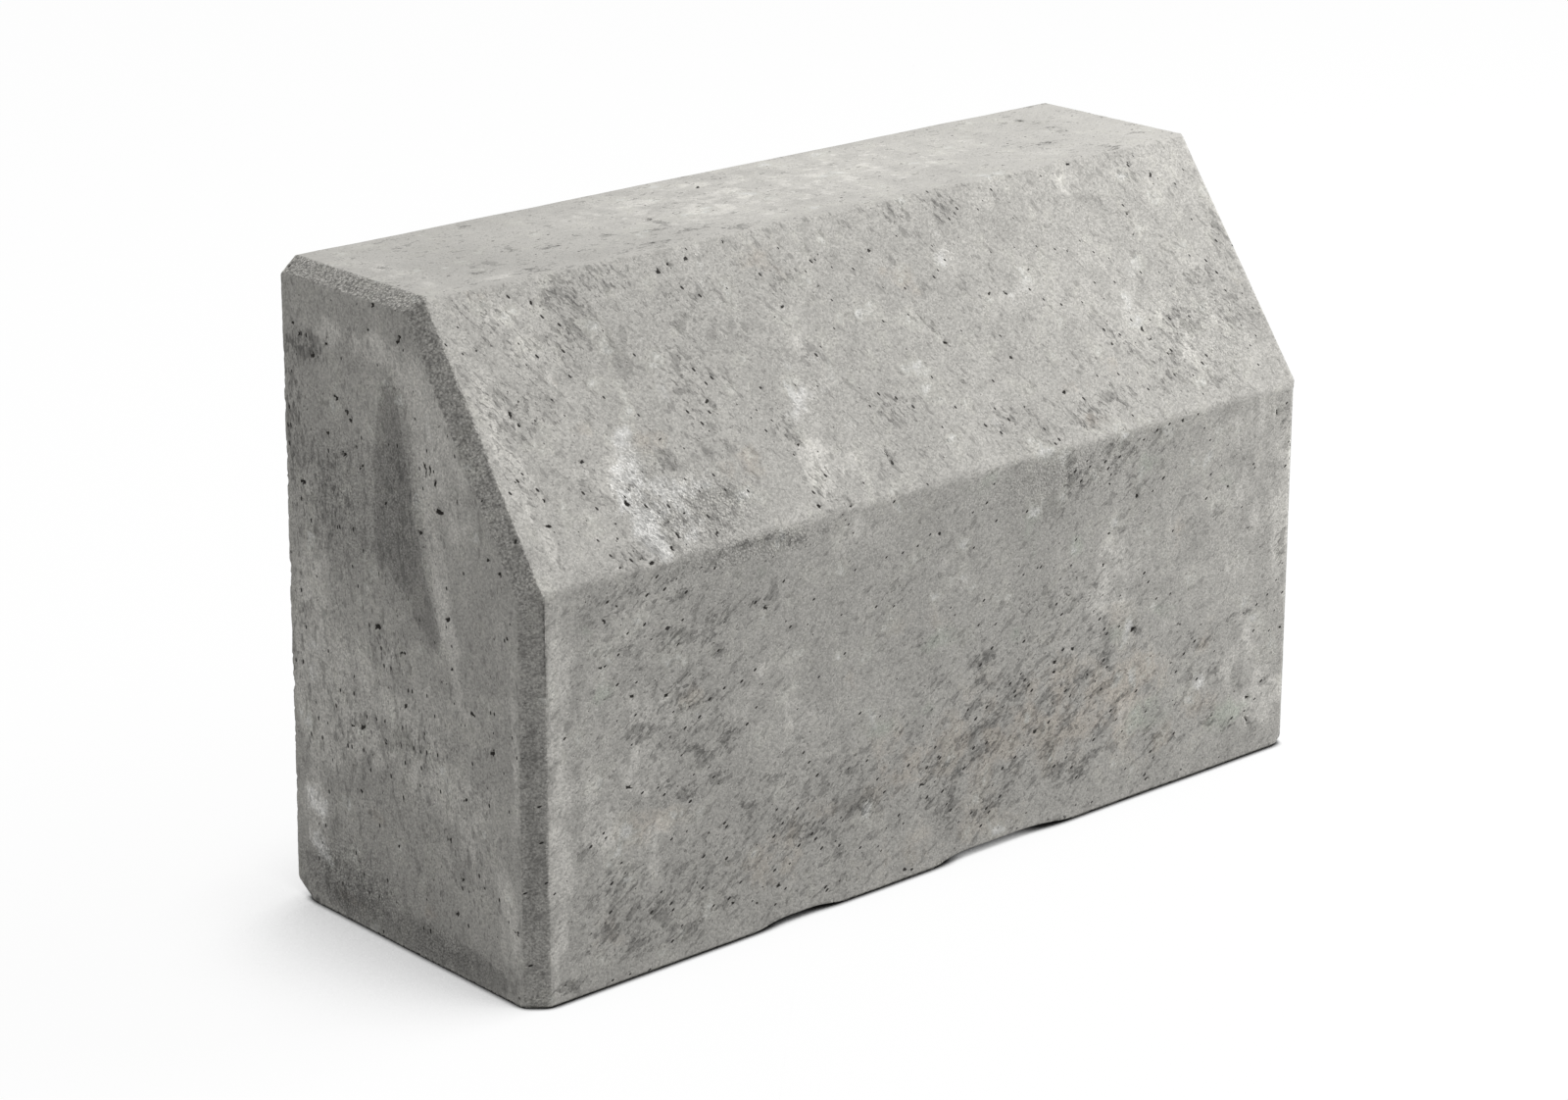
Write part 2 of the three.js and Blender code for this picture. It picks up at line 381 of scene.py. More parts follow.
# Weathering of each face: kind, then for each patch its place across and up the face, half its
# length and breadth, its strength, and the direction of its length in degrees where it has one.
WEATHERING: dict[Face, dict[Stain, tuple[tuple[float, ...], ...]]] = {
    Face.LEFT_END: {
        # The low rows make the face darker towards its foot.
        Stain.DAMP: (
            (-4, 209, 22, 8, 1, 90), (-4, 190, 26, 15, 1, 90), (-2, 168, 26, 19, 0.88, 94),
            (9, 148, 26, 12, 0.9, 112), (17, 134, 18, 9, 0.6, 115), (-26, 168, 34, 15, 0.5, 90),
            (-18, 150, 22, 14, 0.5), (-44, 172, 24, 16, 0.3, 90), (-62, 178, 24, 8, 0.25, 90),
            (-57, 223, 14, 8, 0.5), (-34, 190, 12, 9, 0.3), (-46, 12, 34, 12, 0.4),
            (10, 8, 66, 12, 0.5), (50, 6, 34, 10, 0.45), (-10, 5, 76, 9, 0.55),
            (52, 125, 28, 9, 0.35, 95), (5, 20, 38, 14, 0.4), (48, 150, 30, 9, 0.35, 95),
            (39, 201, 52, 4, 0.55, -57), (0, 32, 30, 12, 0.3), (-30, 132, 16, 8, 0.35),
            (-74, 70, 60, 3, 0.4, 90), (-74, 150, 60, 3, 0.3, 90), (-20, 140, 36, 8, 0.15),
        ),
        Stain.FILM: (
            (16, 221, 24, 17, 1, -50), (26, 200, 34, 18, 1, -62), (15, 192, 26, 7, 1, 97),
            (-42, 233, 14, 8, 0.95), (-14, 233, 24, 8, 0.95), (6, 228, 14, 9, 0.9),
            (22, 158, 30, 8, 0.8, 102), (27, 134, 18, 7, 0.9, 105), (33, 112, 12, 5, 0.6, 110),
            (0, 120, 75, 120, 0.2), (-58, 102, 38, 15, 1, 90), (-58, 94, 34, 16, 0.9, 90),
            (-34, 82, 34, 18, 0.8), (-57, 168, 20, 9, 0.6, 90), (-60, 130, 14, 10, 0.6),
            (-40, 84, 18, 14, 1), (-34, 106, 24, 14, 0.75), (-58, 140, 14, 9, 0.6),
            (-57, 62, 24, 9, 0.8, 90), (2, 96, 26, 12, 0.75), (-15, 75, 12, 9, 0.6),
            (30, 60, 22, 6, 0.5, 90), (15, 68, 10, 8, 0.5), (-28, 10, 6, 10, 0.4), (-57, 25, 8, 6, 0.5),
            (16, 76, 24, 16, 0.7), (-42, 122, 26, 14, 0.5), (34, 42, 16, 18, 0.4),
            (-60, 38, 20, 10, 0.85, 90), (42, 78, 28, 14, 0.5, 90), (-4, 114, 14, 9, 0.5),
            (-44, 66, 14, 12, 0.6), (-50, 90, 16, 12, 0.5), (40, 60, 20, 10, 0.5, 90),
            (56, 44, 12, 12, 0.75), (62, 28, 8, 16, 0.7), (66, 96, 40, 3, 0.8, 91),
            (20, 104, 24, 10, 0.5), (-46, 150, 8, 18, 0.4), (-20, 200, 6, 14, 0.4),
        ),
        Stain.LIME: (
            (-59, 45, 10, 9, 1, -40), (-59, 28, 9, 10, 1), (-56, 37, 8, 9, 0.8),
            (-57, 104, 10, 16, 0.45), (-50, 82, 10, 8, 0.3), (20, 206, 16, 9, 0.35, -60),
        ),
        Stain.TAN: (
            (15, 19, 9, 5, 0.6), (-40, 8, 12, 4, 0.5), (-20, 48, 9, 5, 0.4),
        ),
        Stain.SPECKS: (
            (-60, 100, 13, 34, 0.25), (-30, 80, 30, 14, 0.3), (-55, 62, 14, 14, 0.25),
            (8, 85, 16, 10, 0.5), (-57, 225, 14, 8, 0.9), (-50, 170, 22, 26, 0.5),
            (0, 180, 10, 32, 0.3), (-12, 118, 14, 8, 0.4), (-42, 14, 30, 13, 0.45),
            (-66, 200, 8, 30, 0.6), (-66, 120, 6, 40, 0.3), (-25, 110, 50, 110, 0.2),
            (30, 60, 30, 50, 0.2),
        ),
        Stain.SANDY: (
            (0, 175, 22, 45, 0.7), (-40, 170, 34, 36, 0.6), (-38, 16, 36, 18, 1.0), (20, 8, 40, 9, 0.8),
            (-45, 110, 30, 34, 0.2), (0, 60, 70, 60, 0.25),
        ),
    },
    Face.SPLAY: {
        Stain.DAMP: (
            (-140, 104, 22, 12, 0.35), (-132, 90, 20, 18, 0.45), (-124, 36, 12, 12, 0.45),
            (-128, 66, 16, 34, 0.45), (-104, 92, 20, 20, 0.4), (-82, 76, 20, 24, 0.45),
            (-96, 23, 28, 20, 0.5), (-105, 40, 14, 14, 0.3), (-182, 86, 8, 16, 0.3),
            (-181, 54, 9, 14, 0.4), (172, 54, 12, 7, 0.3), (194, 68, 5, 16, 0.35),
            (-45, 100, 18, 14, 0.45), (52, 108, 14, 8, 0.35), (56, 9, 36, 14, 0.5),
            (85, 35, 24, 22, 0.35), (0, 20, 26, 14, 0.35), (-20, 60, 30, 20, 0.3),
            (12, 42, 18, 16, 0.35), (28, 82, 24, 18, 0.35), (145, 66, 10, 8, 0.4),
            (160, 92, 10, 10, 0.35), (195, 30, 5, 16, 0.35), (-58, 84, 14, 16, 0.3),
            (-30, 55, 180, 70, 0.18), (-147, 74, 10, 14, 0.3), (-168, 34, 12, 16, 0.35),
            (-38, 10, 16, 9, 0.35),
        ),
        Stain.LIME: (
            (-139, 14, 16, 20, 1), (-146, 30, 11, 13, 0.85), (-122, 26, 18, 8, 0.5),
            (-130, 8, 14, 7, 0.85), (-140, 42, 6, 12, 0.5), (-157, 22, 6, 5, 0.5), (-77, 77, 4, 3, 0.6),
            (-78, 92, 12, 6, 0.4, 110), (-76, 106, 8, 9, 0.4), (-113, 62, 2.5, 9, 0.55),
            (-114, 82, 3, 2, 0.6), (-158, 72, 5, 10, 0.4), (-44, 83, 3, 2.5, 0.7),
            (-51, 72, 1.5, 4, 0.8), (-53, 62, 5, 5, 0.5), (-39, 60, 5, 3, 0.6),
            (-44, 48, 13, 6, 0.7, 15), (-56, 41, 12, 6, 0.4), (-34, 32, 7, 6, 0.5),
            (47, 90, 10, 6, 0.6, 30), (42, 97, 4, 3, 0.6), (74, 65, 10, 7, 0.4), (100, 80, 4, 3, 0.4),
            (106, 78, 4, 3, 0.5), (126, 50, 12, 9, 0.25), (135, 62, 7, 9, 0.25), (122, 88, 9, 4, 0.4),
            (35, 18, 4, 4, 0.5), (8, 108, 3, 4, 0.5),
        ),
        Stain.FILM: (
            (-190, 55, 12, 66, 0.7), (-160, 14, 26, 14, 0.5), (-162, 80, 14, 26, 0.65),
            (-155, 36, 18, 14, 0.8), (-128, 26, 18, 14, 0.5), (-150, 108, 14, 9, 0.6),
            (-120, 104, 16, 8, 0.4), (-60, 20, 12, 18, 0.8), (-44, 16, 10, 10, 0.5),
            (-54, 32, 9, 26, 0.5), (-44, 64, 12, 8, 0.6), (-58, 70, 8, 6, 0.4),
            (47, 88, 14, 12, 0.6, 30), (74, 66, 16, 10, 0.4), (124, 30, 14, 14, 0.35),
            (118, 66, 16, 20, 0.55), (128, 46, 14, 14, 0.35), (112, 40, 10, 8, 0.6),
            (145, 44, 22, 8, 0.4), (158, 22, 12, 16, 0.45), (145, 20, 10, 8, 0.5),
            (124, 106, 30, 10, 0.6), (80, 108, 16, 8, 0.5), (172, 96, 24, 18, 0.4),
            (176, 58, 14, 9, 0.5), (176, 36, 16, 14, 0.5), (150, 30, 14, 12, 0.4),
            (186, 20, 12, 10, 0.25), (-175, 104, 14, 8, 0.5), (-6, 90, 16, 14, 0.45),
            (0, 64, 24, 10, 0.2), (36, 20, 9, 9, 0.5), (62, 60, 10, 9, 0.4), (-186, 10, 12, 9, 0.5),
        ),
        Stain.TAN: (
            (-45, 100, 12, 8, 0.6), (11, 86, 5, 4, 0.6), (22, 80, 12, 9, 0.4), (-90, 28, 14, 9, 0.5),
            (-128, 45, 10, 6, 0.5), (83, 22, 12, 5, 0.4), (83, 9, 9, 4, 0.7), (105, 28, 8, 5, 0.4),
            (185, 45, 12, 5, 0.4), (-157, 74, 4, 4, 0.6), (-175, 113, 8, 3, 0.4), (-155, 54, 6, 4, 0.4),
        ),
        Stain.SPECKS: (
            (-176, 104, 14, 12, 0.4), (-167, 86, 12, 11, 0.38), (-140, 105, 16, 10, 0.6),
            (-120, 108, 10, 7, 0.5), (-143, 92, 8, 6, 0.6), (-176, 66, 20, 14, 0.38),
            (-150, 84, 10, 12, 0.4), (-162, 36, 14, 6, 0.2, 20), (-122, 30, 20, 11, 0.3, -50),
            (-142, 22, 18, 18, 0.42), (-113, 12, 22, 11, 0.28), (-150, 6, 16, 6, 0.5),
            (-134, 12, 12, 10, 0.5), (-145, 30, 12, 10, 0.25), (-100, 60, 18, 24, 0.3),
            (-84, 94, 18, 10, 0.25), (-60, 12, 8, 11, 0.45), (-65, 36, 6, 10, 0.6),
            (-23, 14, 8, 3, 0.3, -70), (-12, 32, 13, 10, 0.45), (-40, 62, 8, 6, 0.4),
            (-38, 94, 16, 8, 0.35), (24, 60, 13, 4, 0.5, -50), (26, 36, 4, 5, 0.5),
            (40, 17, 18, 8, 0.38), (28, 108, 9, 7, 0.5), (53, 107, 9, 8, 0.55), (60, 6, 9, 6, 0.3),
            (83, 10, 11, 7, 0.6), (100, 13, 11, 7, 0.3), (114, 38, 14, 5, 0.6, -50),
            (140, 20, 22, 13, 0.42), (152, 38, 18, 11, 0.5), (162, 14, 14, 10, 0.3),
            (173, 54, 13, 7, 0.5), (177, 36, 16, 11, 0.45), (192, 70, 6, 13, 0.4),
            (156, 104, 6, 12, 0.5), (-190, 60, 8, 40, 0.35), (90, 14, 40, 10, 0.15),
        ),
        Stain.SANDY: (
            (-115, 14, 26, 16, 0.6), (-135, 30, 20, 22, 0.3), (160, 36, 40, 28, 0.25),
        ),
    },
    Face.ROAD: {
        # The low rows make the face darker towards its foot.
        Stain.DAMP: (
            (-160, 22, 26, 14, 0.3), (-133, 100, 12, 22, 0.2), (-62, 42, 34, 16, 0.35),
            (26, 50, 32, 26, 0.4), (66, 40, 30, 14, 0.3, 20), (0, 128, 70, 34, 0.25),
            (98, 155, 12, 6, 0.4), (-100, 142, 34, 18, 0.5), (-80, 126, 20, 14, 0.35),
            (-50, 104, 34, 16, 0.45), (-25, 128, 40, 22, 0.2), (-105, 36, 12, 16, 0.25),
            (-132, 146, 26, 12, 0.3), (30, 20, 46, 14, 0.45), (-60, 22, 40, 14, 0.3),
            (48, 138, 40, 22, 0.5), (40, 96, 36, 22, 0.4), (-50, 40, 22, 10, 0.45, 20),
            (10, 44, 22, 16, 0.35, 20), (95, 10, 60, 9, 0.35), (-95, 10, 60, 8, 0.15),
            (60, 70, 16, 10, 0.35), (-150, 8, 40, 7, 0.35), (-15, 92, 30, 12, 0.3),
            (-110, 52, 8, 22, 0.35, 80), (-70, 56, 12, 8, 0.25), (140, 30, 20, 14, 0.3),
            (152, 54, 14, 12, 0.35), (168, 88, 18, 14, 0.35), (-85, 110, 22, 10, 0.25),
            (-180, 142, 14, 16, 0.35), (-126, 34, 12, 20, 0.3), (-135, 118, 14, 9, 0.3),
        ),
        Stain.FILM: (
            (-197, 80, 11, 95, 0.8), (122, 72, 14, 14, 0.4), (-183, 110, 18, 46, 0.5),
            (-153, 82, 16, 15, 0.9), (-175, 64, 16, 14, 0.8), (-150, 105, 22, 16, 0.7),
            (-135, 150, 20, 10, 0.5), (-160, 140, 22, 18, 0.5), (-150, 56, 14, 9, 0.7),
            (-192, 34, 10, 26, 0.6), (-80, 66, 30, 14, 0.4), (-120, 95, 18, 12, 0.5),
            (-95, 107, 9, 4, 0.7, 40), (-82, 107, 8, 5, 0.4), (-175, 80, 18, 12, 0.4),
            (-52, 150, 14, 7, 0.6, 35), (-35, 146, 14, 9, 0.6), (-5, 127, 8, 4, 0.6),
            (8, 117, 9, 3, 0.7), (92, 104, 24, 22, 0.8), (85, 88, 18, 14, 0.6), (112, 56, 20, 18, 0.4),
            (104, 38, 16, 14, 0.6), (160, 110, 40, 50, 0.45), (118, 110, 16, 30, 0.3),
            (182, 90, 22, 70, 0.4), (185, 24, 22, 16, 0.9), (172, 40, 20, 26, 0.6),
            (145, 40, 12, 20, 0.25), (85, 45, 16, 10, 0.35), (194, 110, 8, 50, 0.7),
            (168, 150, 24, 12, 0.6), (-155, 42, 24, 10, 0.5), (85, 72, 16, 14, 0.5),
            (10, 57, 14, 3, 0.5, 15), (25, 35, 9, 5, 0.4), (-78, 84, 20, 12, 0.6),
            (-100, 90, 12, 12, 0.4), (-75, 30, 20, 10, 0.4), (-30, 60, 6, 16, 0.3),
            (-85, 48, 14, 8, 0.3), (-14, 20, 14, 10, 0.3),
        ),
        Stain.LIME: (
            (-127, 96, 3, 0.8, 0.9, 35), (-127, 42, 4, 1.5, 0.4, 20), (42, 42, 3.5, 0.9, 0.9, -45),
            (148, 41, 5, 4, 1), (-175, 111, 1, 1, 0.7), (10, 118, 8, 1.2, 0.45),
        ),
        Stain.TAN: (
            (-150, 60, 20, 10, 0.5), (-130, 105, 10, 5, 0.5), (-165, 22, 15, 8, 0.6),
            (-90, 28, 26, 15, 0.5), (-70, 40, 20, 12, 0.5), (-20, 50, 32, 22, 0.6),
            (-50, 90, 10, 6, 0.4), (22, 50, 28, 28, 0.7), (62, 50, 32, 32, 0.7), (95, 42, 32, 24, 0.7),
            (112, 56, 20, 15, 0.5), (150, 60, 10, 8, 0.6), (150, 30, 20, 12, 0.5),
            (125, 20, 20, 12, 0.5), (133, 110, 7, 9, 0.5), (-15, 105, 20, 7, 0.4),
            (92, 80, 16, 12, 0.4), (0, 14, 60, 12, 0.4),
        ),
        Stain.ALGAE: (
            (-180, 143, 6, 4, 0.6), (-173, 115, 6, 5, 0.6), (-92, 145, 9, 6, 0.6), (-15, 35, 6, 4, 0.6),
            (-34, 67, 8, 4, 0.6), (-12, 68, 8, 4, 0.8), (-12, 97, 20, 5, 0.6), (45, 125, 8, 14, 0.6),
            (38, 88, 6, 6, 0.7), (72, 118, 5, 6, 0.6), (112, 145, 7, 6, 0.6), (124, 78, 8, 5, 0.7),
            (93, 75, 7, 5, 0.7), (116, 35, 16, 10, 0.8), (166, 23, 18, 9, 0.8), (160, 126, 6, 5, 0.5),
            (20, 154, 20, 5, 0.5), (-132, 68, 6, 3, 0.8),
        ),
        Stain.SPECKS: (
            (-190, 6, 11, 4, 0.7), (-165, 150, 18, 11, 0.35), (-160, 132, 9, 3, 0.7, 15),
            (-140, 150, 12, 9, 0.4), (-135, 145, 4, 4, 0.8), (-138, 130, 12, 5, 0.7),
            (-117, 134, 8, 5, 0.7), (-122, 125, 9, 3, 0.7), (-117, 119, 3, 3, 1.0),
            (-134, 110, 11, 6, 0.6), (-138, 103, 11, 4, 0.6), (-155, 97, 8, 5, 0.7),
            (-124, 101, 14, 2.5, 0.7), (-128, 93, 14, 4, 0.4), (-130, 84, 12, 2, 1.0, -22),
            (-113, 84, 6, 7, 0.9), (-124, 79, 5, 5, 0.9), (-143, 72, 6, 3, 0.7),
            (-133, 67, 8, 3.5, 0.9), (-118, 69, 7, 3, 0.7), (-180, 57, 10, 4, 0.3),
            (-167, 40, 14, 9, 0.5), (-170, 23, 12, 6, 0.7, 25), (-148, 24, 6, 5, 0.8),
            (-155, 14, 12, 4, 0.6), (-133, 11, 11, 4, 0.7), (-112, 18, 8, 3, 0.5),
            (-90, 62, 10, 2.2, 0.8, 5), (-102, 54, 6, 2, 0.7), (-84, 41, 9, 3, 0.8),
            (-75, 35, 14, 5, 0.7), (-96, 133, 7, 3, 0.6), (-100, 157, 16, 3, 0.5),
            (-80, 154, 16, 2.5, 0.7, -20), (-52, 55, 6, 4, 0.6), (-42, 38, 10, 5, 0.9),
            (-62, 20, 12, 1.6, 0.7, 8), (-25, 64, 4, 2.2, 0.8, -20), (-27, 122, 11, 8, 0.3),
            (-12, 97, 8, 3, 0.5, 10), (-8, 78, 10, 5, 0.5), (-8, 46, 9, 2.5, 0.7, 10),
            (-9, 29, 2.5, 5, 0.9, -20), (3, 25, 13, 3, 0.9, 82), (10, 39, 14, 2.5, 0.7, 25),
            (20, 82, 8, 5, 0.9), (19, 73, 5, 5, 0.9), (15, 63, 9, 1.8, 0.9, 12),
            (20, 54, 15, 3.5, 0.9, 15), (24, 44, 10, 4, 0.7, 20), (40, 66, 12, 7, 0.4),
            (38, 32, 6, 6, 0.7), (-4, 42, 9, 3, 0.7, 15), (24, 19, 14, 4, 0.75, 15),
            (36, 25, 9, 2.5, 0.7, 15), (60, 56, 8, 6, 0.6), (58, 35, 4, 6, 0.9), (63, 25, 8, 4, 0.9),
            (66, 149, 5, 10, 0.7), (73, 145, 7, 6, 0.5), (62, 133, 2, 7, 0.7), (94, 154, 14, 5, 0.5),
            (103, 151, 4, 3, 0.9), (118, 156, 9, 3, 0.5), (92, 147, 4, 4, 0.7), (102, 137, 4, 8, 0.4),
            (96, 119, 4, 1.6, 0.9), (83, 98, 3, 3, 0.9), (78, 95, 8, 3, 0.6, 10), (85, 80, 8, 5, 0.4),
            (106, 74, 3.5, 2, 1.0), (89, 66, 6, 6, 0.9), (74, 60, 10, 5, 0.7),
            (90, 54, 13, 2.2, 0.9, 18), (97, 45, 12, 3, 0.9, 20), (88, 37, 13, 2, 0.8, 25),
            (84, 26, 18, 1.6, 0.9, 8), (74, 20, 10, 5, 0.9), (70, 44, 5, 8, 0.7), (118, 23, 5, 6, 0.7),
            (130, 20, 3.5, 2.5, 0.8), (116, 7, 3.5, 1.8, 1.0), (148, 58, 11, 2.5, 0.7),
            (142, 45, 4, 4, 0.8), (156, 45, 9, 4, 0.6), (164, 65, 6, 2, 0.9), (176, 65, 5, 1.5, 0.9),
            (174, 102, 5, 1.5, 0.8), (154, 24, 5, 5, 0.6), (165, 17, 5, 4, 0.6),
            (178, 15, 5, 2, 0.7, -45), (186, 30, 4, 4, 0.6), (194, 140, 3, 18, 0.6),
            (194, 90, 4, 12, 0.7), (166, 136, 4, 3, 0.5), (155, 113, 7, 4, 0.5, -20),
            (60, 80, 60, 40, 0.25), (-60, 10, 40, 8, 0.2), (-70, 44, 70, 30, 0.28),
            (-140, 110, 50, 60, 0.16), (110, 40, 60, 40, 0.2), (-145, 26, 50, 22, 0.3),
            (28, 40, 60, 40, 0.28), (100, 140, 50, 20, 0.16),
        ),
        Stain.SANDY: (
            (60, 150, 50, 12, 0.3), (-100, 155, 40, 6, 0.5),
        ),
    },
    Face.TREAD: {
        Stain.DAMP: (
            (-155, 28, 34, 40, 0.3), (-148, 14, 16, 12, 0.4), (-100, 0, 40, 9, 0.5),
            (-82, 10, 26, 6, 0.45), (-118, 60, 10, 12, 0.3), (-150, 66, 36, 8, 0.2),
            (140, 15, 12, 6, 0.4), (128, 42, 12, 16, 0.3), (164, 44, 9, 14, 0.4), (192, 40, 6, 20, 0.3),
            (50, 70, 20, 5, 0.25), (-185, 62, 10, 8, 0.3), (155, -6, 9, 6, 0.5), (-30, -8, 40, 4, 0.4),
            (40, -9, 50, 3, 0.4),
        ),
        Stain.FILM: (
            (-203, 32, 8, 50, 0.8), (10, 32, 150, 50, 0.56), (-5, 62, 40, 16, 0.2),
            (-185, 25, 10, 44, 0.6), (-65, 50, 44, 20, 0.25), (-40, 12, 34, 14, 0.2),
            (80, 60, 40, 14, 0.2), (115, 48, 14, 14, 0.3), (-172, 66, 8, 5, 0.4),
            (-160, -3, 14, 6, 0.6), (130, 5, 30, 8, 0.4), (186, 40, 8, 20, 0.3),
        ),
        Stain.LIME: (
            (-30, 2, 12, 4, 0.2),
        ),
        Stain.SPECKS: (
            (-184, 35, 3, 4, 0.7), (-185, 52, 4, 2, 0.6, 15), (-162, 55, 5, 2, 0.6, 20),
            (-162, 6, 5, 2.5, 0.7), (-133, 24, 4, 3, 0.7), (-123, 64, 5, 2.5, 0.6),
            (-100, 42, 2, 6, 0.6), (-118, 18, 8, 5, 0.5), (-92, 18, 5, 3, 0.7, -30),
            (-70, 12, 10, 3, 0.8, 10), (-62, 3, 13, 2.5, 0.7), (-64, 20, 4, 3, 0.6, -40),
            (-75, 28, 1.5, 3, 0.7), (-64, 27, 1.2, 1.6, 0.8), (-46, -5, 9, 5, 0.8),
            (-145, -5, 10, 5, 0.7), (-90, -5, 20, 4, 0.5), (141, 17, 7, 3, 0.8), (140, 8, 10, 2, 0.5),
            (163, 54, 3, 2.5, 0.9), (166, 46, 3.5, 3, 0.6), (165, 34, 5, 6, 0.5),
            (162, 27, 3, 2.5, 0.7), (153, 2, 4, 1.8, 0.8), (157, -8, 6, 4, 0.9), (127, 20, 3, 3, 0.5),
            (184, 5, 4, 3, 0.5),
        ),
    },
}

